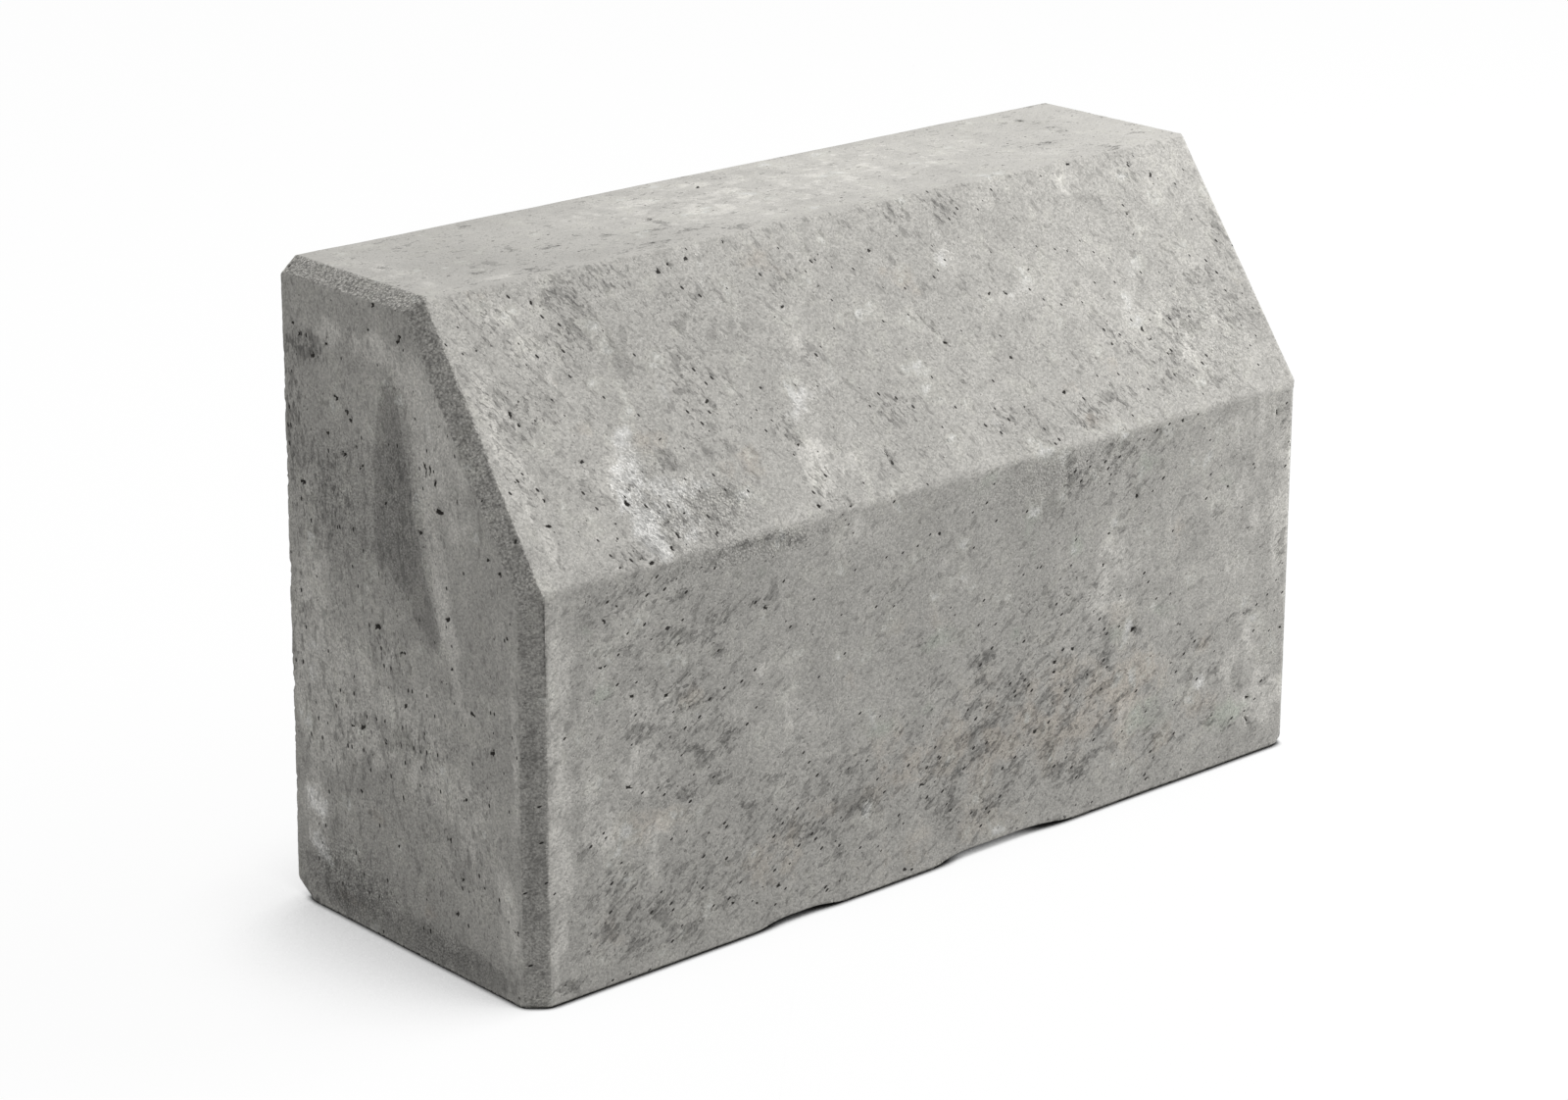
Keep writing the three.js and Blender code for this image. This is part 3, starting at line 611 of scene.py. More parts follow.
# Air holes of each face, as the dark spot that each one makes: its place across and up the face,
# half its length and breadth, and the direction of its length in degrees where it has one.
AIR_HOLES: dict[Face, tuple[tuple[float, ...], ...]] = {
    Face.LEFT_END: (
        (-64, 232, 1.6, 0.8, 95), (-60, 228.5, 1, 0.8), (-52, 222, 2, 1.1, 30), (-43, 228, 1.2, 1),
        (2, 239, 2.6, 1, 65), (-3, 229, 1.2, 0.8, -45), (-13, 249, 1, 1), (-17, 239, 0.8, 0.6),
        (-38, 209, 2.4, 0.9, -25), (-31, 204.5, 1.6, 0.9, -70), (-29, 202, 1, 0.9),
        (-32, 210.5, 0.9, 0.5, 30), (-44, 194, 1, 0.7, 60), (-45, 197, 0.9, 0.6, 60),
        (-26, 192.5, 1.2, 0.9, -30), (-34, 188, 1.6, 1.1), (-23, 186, 1, 0.9), (-18, 186, 0.7, 0.6),
        (-9, 175, 1.4, 0.7, 60), (-61, 171, 1.9, 0.9), (-30, 166.5, 0.7, 0.6),
        (10, 211.5, 1.2, 0.7, -45), (24.5, 212, 1, 0.7, 30), (16.2, 194, 3, 0.7, 95),
        (19, 194, 2.6, 0.6, 92), (22, 190, 1.9, 0.6, 72), (34, 186, 1.8, 0.9, -70),
        (24, 179.5, 2.2, 1.2), (28, 161.5, 1.6, 0.6, -10), (52.5, 168.5, 1.2, 0.6),
        (58.5, 165, 1.5, 0.8, 20), (12.5, 169, 0.9, 0.7), (62.5, 141, 0.8, 0.7), (27, 139.5, 1.5, 1.2),
        (-16, 125, 2.3, 1.5, -20), (-0.5, 118.7, 1.4, 1, 20), (29, 120.5, 1, 0.7, -60),
        (54.5, 120, 0.7, 0.6), (41, 107, 2, 0.8, -30), (-10, 102.5, 0.8, 0.6),
        (-16, 112, 1.1, 0.6, -40), (0, 98.5, 0.7, 0.7), (53, 95.5, 1.7, 0.9, 80), (-49, 93, 0.9, 0.7),
        (-59, 98.5, 1, 0.7), (41, 93.5, 0.7, 0.5), (-27, 82.5, 1.9, 1.1, 110),
        (-12, 79.7, 1.2, 0.6, -10), (-33.5, 81, 1.4, 0.6, 10), (-49, 83, 0.8, 0.6),
        (-59.5, 76.5, 0.9, 0.7), (-45, 72.5, 1.1, 0.6, 80), (-34, 72, 0.9, 0.6), (-30.5, 64, 0.7, 0.6),
        (35, 71.5, 1.4, 0.9), (-30, 55, 1.5, 1, 20), (26, 53.5, 1, 0.8, 60), (36, 55, 1.2, 0.7, 100),
        (15, 46.5, 1, 0.6), (-15.5, 44, 0.9, 0.6), (-6.5, 41.2, 0.8, 0.6), (20, 41, 0.8, 0.7),
        (33, 39.7, 1.2, 0.8), (46, 40.3, 1.1, 0.7, -30), (51, 29.5, 0.8, 0.6), (65, 28.5, 2, 1.1, -45),
        (29, 24.5, 1.2, 0.8), (10, 24.2, 0.9, 0.7, -30), (2.5, 24.2, 0.9, 0.6), (-4, 19.2, 0.8, 0.6),
        (12, 12, 1.6, 0.8, -50), (-25, 13.5, 0.8, 0.6),
    ),
    Face.SPLAY: (
        (-94, 106, 1.1, 0.9), (-88.5, 108, 1.5, 0.6, -60), (-79, 108.5, 1.3, 0.6, -40),
        (-106, 112, 1.1, 0.5, -60), (-155, 105, 1.7, 0.6, -85), (-162, 96.5, 1, 0.7),
        (-186, 92, 1.4, 0.5), (-179.5, 93, 1.1, 0.8), (-179.5, 85.5, 0.8, 0.6), (-182, 82.5, 0.8, 0.6),
        (-177.5, 69.5, 0.8, 0.6), (-182.5, 66, 1.7, 0.6, -65), (-180.5, 61.5, 0.8, 0.6),
        (-142.5, 67, 0.7, 0.6), (-128.5, 64, 0.9, 0.6), (-114.5, 73.5, 0.6, 0.6),
        (-80, 75.5, 1.1, 0.5, -50), (-96, 53.5, 0.7, 0.6), (-69.5, 54, 1.3, 0.6, 90),
        (-100, 42.5, 0.7, 0.6), (-123, 44, 0.7, 0.6), (-160.5, 43, 1.1, 0.6, -40),
        (-106, 40, 1.5, 0.5, -50), (-182.5, 33, 0.9, 0.5, -40), (-185, 23.5, 1.4, 0.7, -30),
        (-78.5, 31.5, 0.8, 0.7), (-149, 24, 1.3, 0.7, -55), (-141, 21.5, 0.8, 0.6),
        (-156.5, 19, 0.8, 0.6), (-124, 26, 1.1, 0.6, -40), (-136, 19, 1.1, 0.6, -60),
        (-133, 13.5, 1.3, 0.6, -60), (-126, 15.5, 1.3, 0.6, -60), (-132.5, 8, 1.1, 0.6, -65),
        (-137, 4, 1.5, 0.7, -55), (-153, 3, 1.4, 1, -20), (-148, 0.5, 1.5, 1), (-162, 2.5, 1.3, 0.9),
        (-158.5, 12, 0.9, 0.6), (-115, 5, 1.7, 0.5, -60), (-90.5, 14, 0.7, 0.6), (-60, 16, 0.9, 0.7),
        (-55.5, 14, 1.4, 0.9), (-62.5, 29, 0.8, 0.6), (-65, 4, 1.7, 0.5, -50), (-24, 17, 1.9, 0.5, -70),
        (-23, 13, 1.9, 0.5, -70), (-29.5, 12, 0.8, 0.6), (-46.5, 23.5, 0.8, 0.6), (-50, 1, 1, 0.7),
        (-44.5, 4, 0.7, 0.6), (-9, 4.2, 0.8, 0.6), (-7.5, 57, 0.8, 0.6), (-10.5, 89.7, 0.8, 0.5),
        (-22, 97, 1.7, 0.5, -60), (-44, 82.5, 0.9, 0.9), (-45.5, 89, 0.8, 0.5),
        (-59.5, 112, 1.3, 0.5, -75), (-42.5, 107.5, 0.7, 0.6), (8.5, 96.3, 0.7, 0.6), (26, 54, 1.3, 1),
        (40.5, 66.5, 0.9, 0.6), (51, 62.5, 0.7, 0.6), (58.5, 68, 0.8, 0.6), (66.5, 67, 1.4, 0.6, -75),
        (67.5, 60, 0.7, 0.6), (68, 90.5, 0.9, 0.8), (84, 74, 1, 0.8), (105.5, 91.3, 1.1, 0.7, -50),
        (107.5, 78.5, 1.1, 0.5), (109.3, 105.3, 0.8, 0.6), (122, 108, 0.9, 0.7, 90),
        (122.4, 106, 0.7, 0.6), (127, 113, 0.8, 0.6), (148, 87.3, 1.3, 0.7, -10),
        (169.5, 105.5, 0.9, 0.7), (169.5, 100.8, 1.3, 0.6, 30), (168.7, 97, 0.8, 0.5),
        (172.3, 112.8, 0.8, 0.5), (180.5, 94.7, 0.7, 0.6), (178.5, 91.8, 0.8, 0.7),
        (145.5, 78, 1.1, 0.7, 40), (120.2, 67, 1, 0.6, -50), (112, 46, 1.4, 0.6, -40),
        (118.5, 45.7, 0.8, 0.6), (130.5, 45.6, 0.8, 0.6), (110.3, 36, 1, 0.6, 60),
        (129.5, 39, 0.9, 0.5), (131.5, 33.8, 0.9, 0.5), (187.2, 39.8, 0.8, 0.5),
        (75, 22, 1.3, 0.7, -60), (55.3, 41.5, 0.8, 0.6), (48.8, 26.7, 0.7, 0.5), (51.7, 20.7, 0.7, 0.5),
    ),
    Face.ROAD: (
        (-173, 128, 0.7, 0.6), (-173, 126, 0.6, 0.5), (-155, 120.5, 0.7, 0.6), (-165, 147.5, 0.7, 0.6),
        (-171, 143.5, 0.9, 0.6), (-142, 117.7, 0.7, 0.6), (-141, 115, 0.9, 0.6),
        (-126, 153.7, 0.8, 0.6), (-89, 149.7, 0.8, 0.6), (-127, 120.5, 0.7, 0.5),
        (-158.5, 111.7, 0.8, 0.6), (-141.5, 108, 1.3, 0.8), (-178, 104, 0.9, 0.5, 30),
        (-117.5, 99, 1.2, 0.8), (-169.5, 83, 1.4, 0.6, -20), (-165, 74.5, 1, 0.5, -70),
        (-160, 76.5, 1.7, 0.6, -20), (-154.5, 54.5, 0.8, 0.5, -40), (-128.5, 49.5, 0.7, 0.5),
        (-115.5, 43, 0.8, 0.6), (-111.3, 45.2, 0.7, 0.5), (-180, 25, 0.9, 0.8),
        (-173.5, 26.2, 0.9, 0.6), (-180.5, 12, 0.7, 0.5), (-184, 6.5, 0.9, 0.6), (-191, 7, 1.3, 0.8),
        (-110, 16.5, 1, 0.6, 20), (-113.5, 11.5, 0.8, 0.6), (-123.5, 19, 1.1, 0.6),
        (-98.5, 12, 1.1, 0.6), (-81.5, 28.2, 0.7, 0.5), (-87, 17, 1.5, 0.8, 20),
        (-79.5, 12, 1.3, 0.5, -50), (-94, 130.5, 1.5, 0.7, 30), (-81.5, 112, 0.7, 0.5),
        (-67.5, 102, 0.7, 0.5), (-61.5, 138.8, 0.6, 0.5), (-46.5, 115, 0.7, 0.6),
        (-34, 127, 0.9, 0.6, 90), (-36.5, 89.7, 0.7, 0.5), (-35.5, 58.3, 0.8, 0.6),
        (-66, 77, 0.9, 0.5, -40), (-18, 71, 0.7, 0.6), (-30, 23.5, 0.8, 0.6), (-59, 20, 1.1, 0.5),
        (-45.5, 35.5, 0.9, 0.6), (-38, 35.5, 0.8, 0.7), (-12.5, 38, 0.9, 0.6), (-12, 24.7, 0.8, 0.6),
        (-30.5, 8.2, 0.7, 0.5), (-20.5, 4, 0.8, 0.5), (-4, 139.5, 0.8, 0.6), (22.7, 138.7, 0.7, 0.6),
        (39.2, 135, 0.7, 0.6), (41, 148.7, 0.7, 0.6), (29.5, 118.7, 0.6, 0.5),
        (51, 113.2, 1.1, 0.5, -15), (66.3, 98.3, 0.9, 0.8), (44, 88.5, 0.6, 0.5),
        (47.5, 78.3, 0.7, 0.6), (46.5, 74.5, 0.7, 0.6), (26.7, 73.3, 0.8, 0.5), (60.7, 71, 1, 0.8),
        (60.7, 66.7, 1, 0.7), (15.5, 39, 0.8, 0.6), (50, 44, 1.1, 0.6, 70), (60, 53.5, 1.1, 0.8),
        (82, 143, 0.8, 0.6), (90, 139.7, 0.7, 0.6), (105.5, 131, 1, 0.7), (90, 118.7, 0.7, 0.6),
        (136.3, 125.5, 1.2, 0.5), (88, 106, 1.2, 1), (101, 111, 0.9, 0.6, 45), (89, 90, 0.8, 0.6, 90),
        (96.5, 92, 0.7, 0.5), (86.2, 78.8, 0.7, 0.6), (70.8, 74, 0.7, 0.6), (79, 62, 0.9, 0.8),
        (106, 74, 2.2, 1.2), (109.2, 19.2, 0.8, 0.7), (97.2, 6.3, 0.8, 0.6), (70.5, 5.5, 0.7, 0.6),
        (138, 4, 0.7, 0.5), (133.7, 25.2, 0.9, 0.8), (148.7, 26, 0.9, 0.8), (116, 7, 1, 0.7),
        (188.8, 149.7, 1.1, 0.6, -45), (131, 158, 0.9, 0.6), (141.2, 90.5, 0.7, 0.5),
        (140.2, 87.7, 0.7, 0.5), (138.2, 84.3, 0.7, 0.6), (141, 68.5, 0.9, 0.5),
        (138.8, 66.5, 1, 0.5, 40), (144.5, 62.8, 0.9, 0.7), (133, 70, 0.9, 0.5), (140.5, 58, 0.7, 0.5),
        (164, 65, 0.8, 0.5), (172.5, 65, 0.8, 0.6), (178, 65, 0.7, 0.5), (194.7, 65, 0.8, 0.6),
        (196, 53.7, 0.9, 0.6), (155.5, 39, 0.8, 0.5), (184.5, 31, 0.8, 0.7), (176.5, 26.3, 1.2, 1),
        (176.7, 17, 2.1, 0.7, -50), (147, 117.7, 0.9, 0.6), (147.5, 112.5, 0.9, 0.6),
        (161, 123, 1, 0.7),
    ),
    Face.TREAD: (
        (-16, 53.3, 1.5, 0.7, 50), (26.5, 57.5, 1.3, 0.6, 50), (-6.3, 24, 1.4, 0.5, 45),
        (-64, 27, 1.2, 1), (163, 54, 1.8, 1.2),
    ),
}


class Pattern(Enum):
    """The patterns that the concrete's tone, stains and relief are made from."""

    CLOUD = "cloud"  # broad lumps, drawn out downwards
    STREAK = "streak"  # narrow ones, drawn out downwards
    MOTTLE = "mottle"  # ragged lumps as wide as they are long
    DAB = "dab"  # small lumps, drawn out the way of the mix
    FLECK = "fleck"  # the smallest, drawn out in the same way
    CHANCE = "chance"  # a random value for each grain of sand
    GRAIN = "grain"  # the same value, about zero
    DOME = "dome"  # distance from the centre of a grain
    SAND = "sand"  # distance from the centre of a coarser grain


@dataclass(frozen=True)
class Lumps:
    """Fractal noise counted in its own spread, so that it lies about zero and mostly within 2.

    Attributes:
        size: Width of the largest lumps, in millimetres.
        detail: How many times the lumps are halved.
        roughness: How strong each finer set of lumps is beside the one before.
        spread: Standard deviation of the noise texture at that detail and roughness.
    """

    size: float
    detail: float
    roughness: float
    spread: float

    def over(self, tree: Tree, place: Socket) -> Socket:
        """Adds the noise at a place.

        Args:
            tree: The material's tree.
            place: Where the noise is read, in metres.

        Returns:
            The noise.
        """
        texture = add(
            tree,
            "TexNoise",
            Vector=place,
            Scale=1.0 / (self.size * MM),
            Detail=self.detail,
            Roughness=self.roughness,
        )
        fac = texture.outputs["Fac"]
        gain, shift = 1.0 / self.spread, -NOISE_MIDDLE / self.spread
        return add(tree, "Math", MULTIPLY_ADD, i0=fac, i1=gain, i2=shift).outputs[0]


@dataclass(frozen=True)
class Rise:
    """How a painted amount turns into cover: it lifts a pattern over a soft threshold.

    Attributes:
        pull: How far a full amount lifts the pattern.
        low: The lifted pattern where the cover begins.
        high: The lifted pattern where it is full.
    """

    pull: float
    low: float
    high: float


@dataclass(frozen=True)
class Variation:
    """How far one pattern makes the bare skin lighter and darker.

    Attributes:
        pattern: The pattern.
        smooth: Share of the tone on the trowelled tread.
        cast: Share of the tone on the faces that were cast against the mould.
        sandy: What a sandy place adds to either.
    """

    pattern: Pattern
    smooth: float
    cast: float
    sandy: float = 0.0


@dataclass(frozen=True)
class Relief:
    """How far one pattern raises the skin.

    Attributes:
        pattern: The pattern.
        plain: Height of one unit of it on the plain skin, in millimetres.
        sandy: What a sandy place adds to that height.
    """

    pattern: Pattern
    plain: float
    sandy: float


@dataclass(frozen=True)
class Wash:
    """One layer of a stain, which makes the skin lighter or darker.

    Attributes:
        stain: The painted stain that carries the layer.
        pattern: The pattern that gives the layer its outline.
        rise: How the painted amount turns into cover.
        tone: What a full cover multiplies the tone by.
        height: How far a full cover stands up, or lies in, in millimetres.
    """

    stain: Stain
    pattern: Pattern
    rise: Rise
    tone: float
    height: float = 0.0


@dataclass(frozen=True)
class Tint:
    """A colour that a stain gives to the skin, in a mottled outline.

    Attributes:
        stain: The painted stain that carries the colour.
        rise: How the painted amount turns into cover.
        colour: The colour at full cover.
    """

    stain: Stain
    rise: Rise
    colour: str


@dataclass(frozen=True)
class CastConcrete:
    """Portland cement concrete cast in a steel mould and left out in the weather.

    The cement skin is matt and cool grey, faintly cloudy, with an even sandy grain. Dirt lies in
    ragged dabs that are drawn out the way the mix was, damp leaves dark runs with a crisp tide
    mark, lime washes out as white blooms and flecks, and trapped air leaves small holes. The dark
    in the holes and along the foot is painted shade.
    """

    body: str = "#AFADA8"  # the dry cement skin
    shade: str = "#2C2A27"  # painted shade inside an air hole or pinhole, and along the foot
    roughness: float = 0.93  # fully matt, with the least sheen at a low angle
    ior: float = 1.5
    settling: float = 0.35  # clouds and streaks are drawn out downwards, to 1 / 0.35 of their width
    drawing: float = 0.5  # dabs, flecks and pinholes are twice as long as wide, the way of the mix

    cloud: Lumps = Lumps(55.0, 3.0, 0.55, 0.071)
    streak: Lumps = Lumps(9.0, 2.0, 0.6, 0.078)
    mottle: Lumps = Lumps(14.0, 3.0, 0.65, 0.068)
    dab: Lumps = Lumps(3.8, 2.0, 0.65, 0.076)
    fleck: Lumps = Lumps(1.5, 1.0, 0.6, 0.088)

    # The sand in the mix is 0.1 to 0.5 mm across, which is too fine to show on the whole stone. Its
    # grains are drawn 0.7 mm wide, and those that the chamfers lay bare 1.05 mm.
    grain_mm: float = 0.7
    sand_mm: float = 1.05
    dome_middle: float = 0.45  # mean distance from a grain's centre, in grains

    # Pinholes, filled with painted shade: at most one in each cell of this width, up to 1 mm wide.
    pinhole_mm: float = 3.6
    pinhole_dirt: float = 0.30  # how far full dirt lifts a cell's chance of a hole
    pinhole_chance: tuple[float, float] = (0.86, 1.04)  # chance where holes begin and are widest
    pinhole_radius: float = 0.15  # of the widest hole, in cells
    pinhole_floor: float = 0.7  # where a hole's painted shade is full, as a share of its radius
    pinhole_depth: float = 0.4  # in millimetres

    sandy_tone: float = 0.92  # what a sandy place multiplies the tone by
    stipple_tone: float = 0.72  # the same for single grains that dirt has darkened
    stipple_rise: Rise = Rise(0.35, 0.93, 1.0)
    dirt_rise: Rise = Rise(2.2, 0.2, 2.1)  # where the dirt lies that darkens them
    mouth_rise: Rise = Rise(9.0, 3.9, 5.3)  # the ragged edge of the painted shade at an air hole's mouth and along the foot

    variations: tuple[Variation, ...] = (
        Variation(Pattern.CLOUD, 0.02, 0.02),
        Variation(Pattern.STREAK, 0.01, 0.02),
        Variation(Pattern.MOTTLE, 0.016, 0.045),
        Variation(Pattern.DAB, 0.018, 0.018),
        Variation(Pattern.FLECK, 0.012, 0.006, 0.02),
        Variation(Pattern.SAND, 0.0, 0.0, -0.8),
        Variation(Pattern.GRAIN, 0.07, 0.50, 0.22),
    )
    reliefs: tuple[Relief, ...] = (
        Relief(Pattern.DOME, -0.06, -0.18),
        Relief(Pattern.SAND, -0.02, -0.58),
    )
    washes: tuple[Wash, ...] = (
        Wash(Stain.FILM, Pattern.MOTTLE, Rise(4.0, 0.0, 4.0), 1.15),
        Wash(Stain.FILM, Pattern.STREAK, Rise(9.0, 5.2, 6.4), 1.15),
        Wash(Stain.FILM, Pattern.DAB, Rise(3.2, 1.4, 3.0), 1.08),
        Wash(Stain.DAMP, Pattern.MOTTLE, Rise(4.0, -1.0, 4.0), 0.86),
        Wash(Stain.DAMP, Pattern.STREAK, Rise(14.0, 8.3, 9.1), 0.76),
        Wash(Stain.SPECKS, Pattern.MOTTLE, Rise(3.0, 1.0, 3.4), 0.95),
        Wash(Stain.SPECKS, Pattern.DAB, Rise(2.6, 1.6, 2.2), 0.71),
        Wash(Stain.SPECKS, Pattern.FLECK, Rise(2.4, 2.0, 2.4), 0.60, -0.05),
        Wash(Stain.LIME, Pattern.MOTTLE, Rise(3.5, 1.2, 4.0), 1.06),
        Wash(Stain.LIME, Pattern.DAB, Rise(3.0, 1.6, 3.2), 1.07, 0.03),
        Wash(Stain.LIME, Pattern.FLECK, Rise(3.0, 1.9, 2.7), 1.20, 0.05),
    )
    tints: tuple[Tint, ...] = (
        Tint(Stain.TAN, Rise(4.0, 0.5, 5.0), "#B2ABA2"),
        Tint(Stain.ALGAE, Rise(4.0, 0.5, 5.0), "#A8ABA2"),
        Tint(Stain.LIME, Rise(3.5, 1.2, 4.0), "#BEBDBA"),
    )

    def build(self) -> bpy.types.Material:
        """Makes the node material.

        Returns:
            The material.
        """
        material = bpy.data.materials.new("cast_concrete")
        material.use_nodes = True
        tree = material.node_tree
        tree.nodes.clear()
        place = add(tree, "TexCoord").outputs["Object"]
        lay = add(tree, "UVMap", {"uv_map": LAY_MAP}).outputs["UV"]
        drawn = add(tree, "Mapping", Vector=lay, Scale=(self.drawing, 1.0, 1.0)).outputs[0]
        painted = {
            mark: add(tree, "Attribute", {"attribute_name": mark.value}).outputs["Fac"]
            for mark in (*Stain, *Mask)
        }
        patterns = self.patterns(tree, place, drawn)
        tone, height = self.skin(tree, patterns, painted)
        pinholes = self.pinholes(tree, drawn, painted[Stain.SPECKS])
        height = self.raised(tree, height, pinholes, painted[Stain.SANDY], -self.pinhole_depth, 0.0)
        colour = self.coloured(tree, tone, pinholes, patterns, painted)
        bump = add(tree, "Bump", Height=height, Distance=MM, Strength=1.0)
        shader = add(
            tree,
            "BsdfPrincipled",
            Base_Color=colour,
            Roughness=self.roughness,
            IOR=self.ior,
            Normal=bump.outputs[0],
        )
        add(tree, "OutputMaterial", Surface=shader.outputs[0])
        return material

    def patterns(self, tree: Tree, place: Socket, drawn: Socket) -> dict[Pattern, Socket]:
        """Adds every pattern, each of them about zero but for the chance, which runs from 0 to 1.

        Args:
            tree: The material's tree.
            place: Place in space, in metres.
            drawn: Place on the face, shortened the way that the mix was drawn.

        Returns:
            The patterns.
        """
        settled = add(tree, "Mapping", Vector=place, Scale=(1.0, 1.0, self.settling)).outputs[0]
        grains = add(tree, "TexVoronoi", ROUND_CELLS, Vector=place, Scale=1.0 / (self.grain_mm * MM))
        sands = add(tree, "TexVoronoi", ROUND_CELLS, Vector=place, Scale=1.0 / (self.sand_mm * MM))
        chance = add(tree, "SeparateColor", i0=grains.outputs["Color"]).outputs[0]
        centred = {
            Pattern.GRAIN: (chance, NOISE_MIDDLE),
            Pattern.DOME: (grains.outputs["Distance"], self.dome_middle),
            Pattern.SAND: (sands.outputs["Distance"], self.dome_middle),
        }
        return {
            Pattern.CLOUD: self.cloud.over(tree, settled),
            Pattern.STREAK: self.streak.over(tree, settled),
            Pattern.MOTTLE: self.mottle.over(tree, place),
            Pattern.DAB: self.dab.over(tree, drawn),
            Pattern.FLECK: self.fleck.over(tree, drawn),
            Pattern.CHANCE: chance,
            **{
                pattern: add(tree, "Math", SUBTRACT, i0=value, i1=middle).outputs[0]
                for pattern, (value, middle) in centred.items()
            },
        }

    def skin(
        self, tree: Tree, patterns: dict[Pattern, Socket], painted: dict[Stain | Mask, Socket]
    ) -> tuple[Socket, Socket]:
        """Works out how light the skin is and how high it stands.

        Args:
            tree: The material's tree.
            patterns: The patterns.
            painted: How strongly each stain and mask is painted here.

        Returns:
            What the body colour is multiplied by, and the height in millimetres.
        """
        sandy = painted[Stain.SANDY]
        tone = 1.0
        for variation in self.variations:
            tone = self.varied(tree, tone, patterns[variation.pattern], variation, painted)
        tone = self.toned(tree, tone, sandy, self.sandy_tone)
        height = 0.0
        for relief in self.reliefs:
            pattern = patterns[relief.pattern]
            height = self.raised(tree, height, pattern, sandy, relief.plain, relief.sandy)
        for wash in self.washes:
            cover = self.veil(tree, patterns[wash.pattern], painted[wash.stain], wash.rise)
            tone = self.toned(tree, tone, cover, wash.tone)
            height = self.raised(tree, height, cover, sandy, wash.height, 0.0)
        dirty = self.veil(tree, patterns[Pattern.DAB], painted[Stain.SPECKS], self.dirt_rise)
        stipple = self.veil(tree, patterns[Pattern.CHANCE], dirty, self.stipple_rise)
        return self.toned(tree, tone, stipple, self.stipple_tone), height

    def coloured(
        self,
        tree: Tree,
        tone: Socket,
        pinholes: Socket,
        patterns: dict[Pattern, Socket],
        painted: dict[Stain | Mask, Socket],
    ) -> Socket:
        """Tints the body colour, gives it its tone and paints shade into the holes and along the foot.

        Args:
            tree: The material's tree.
            tone: What the colour is multiplied by.
            pinholes: 1 inside the pinholes.
            patterns: The patterns.
            painted: How strongly each stain and mask is painted here.

        Returns:
            The surface's colour.
        """
        colour = linear(self.body)
        for tint in self.tints:
            cover = self.veil(tree, patterns[Pattern.MOTTLE], painted[tint.stain], tint.rise)
            colour = add(tree, "Mix", MIX_COLOURS, i0=cover, i6=colour, i7=linear(tint.colour)).outputs[2]
        colour = add(tree, "VectorMath", {"operation": "SCALE"}, i0=colour, Scale=tone).outputs[0]
        # Painted shade: the air holes, the pinholes and the line along the foot take the shade colour.
        mouth_shade = self.veil(tree, patterns[Pattern.FLECK], painted[Mask.HOLE], self.mouth_rise)
        dark = add(tree, "Math", MAXIMUM, i0=pinholes, i1=mouth_shade).outputs[0]
        return add(tree, "Mix", MIX_COLOURS, i0=dark, i6=colour, i7=linear(self.shade)).outputs[2]

    def raised(
        self,
        tree: Tree,
        height: Socket | float,
        pattern: Socket,
        sandy: Socket,
        plain: float,
        more: float,
    ) -> Socket | float:
        """Adds a pattern to the height of the relief.

        Args:
            tree: The material's tree.
            height: The height so far, in millimetres.
            pattern: What is added.
            sandy: 1 where the surface is sandy.
            plain: Height of one unit of the pattern on the plain skin, in millimetres.
            more: What a sandy place adds to that height.

        Returns:
            The new height in millimetres.
        """
        if not plain and not more:
            return height
        share = add(tree, "Math", MULTIPLY_ADD, i0=sandy, i1=more, i2=plain).outputs[0]
        return add(tree, "Math", MULTIPLY_ADD, i0=pattern, i1=share, i2=height).outputs[0]

    def varied(
        self,
        tree: Tree,
        tone: Socket | float,
        pattern: Socket,
        variation: Variation,
        painted: dict[Stain | Mask, Socket],
    ) -> Socket:
        """Makes a tone lighter and darker by a pattern about zero.

        Args:
            tree: The material's tree.
            tone: The tone so far.
            pattern: What varies it.
            variation: How far it does, on each kind of face.
            painted: How strongly each stain and mask is painted here.

        Returns:
            The new tone.
        """
        exposed, sandy = painted[Mask.EXPOSED], painted[Stain.SANDY]
        smooth, more = variation.smooth, variation.cast - variation.smooth
        gain = add(tree, "Math", MULTIPLY_ADD, i0=exposed, i1=more, i2=smooth).outputs[0]
        gain = add(tree, "Math", MULTIPLY_ADD, i0=sandy, i1=variation.sandy, i2=gain).outputs[0]
        share = add(tree, "Math", MULTIPLY_ADD, i0=pattern, i1=gain, i2=1.0).outputs[0]
        return add(tree, "Math", MULTIPLY, i0=tone, i1=share).outputs[0]

    def toned(self, tree: Tree, tone: Socket, mask: Socket, by: float) -> Socket:
        """A tone multiplied by a factor where a mask is 1."""
        share = add(tree, "Math", MULTIPLY_ADD, i0=mask, i1=by - 1.0, i2=1.0).outputs[0]
        return add(tree, "Math", MULTIPLY, i0=tone, i1=share).outputs[0]

    def veil(self, tree: Tree, pattern: Socket, amount: Socket, rise: Rise) -> Socket:
        """Cover from 0 to 1, where a painted amount lifts a pattern over a threshold."""
        lifted = add(tree, "Math", MULTIPLY_ADD, i0=amount, i1=rise.pull, i2=pattern).outputs[0]
        return add(tree, "MapRange", SOFT_STEP, i0=lifted, i1=rise.low, i2=rise.high).outputs[0]

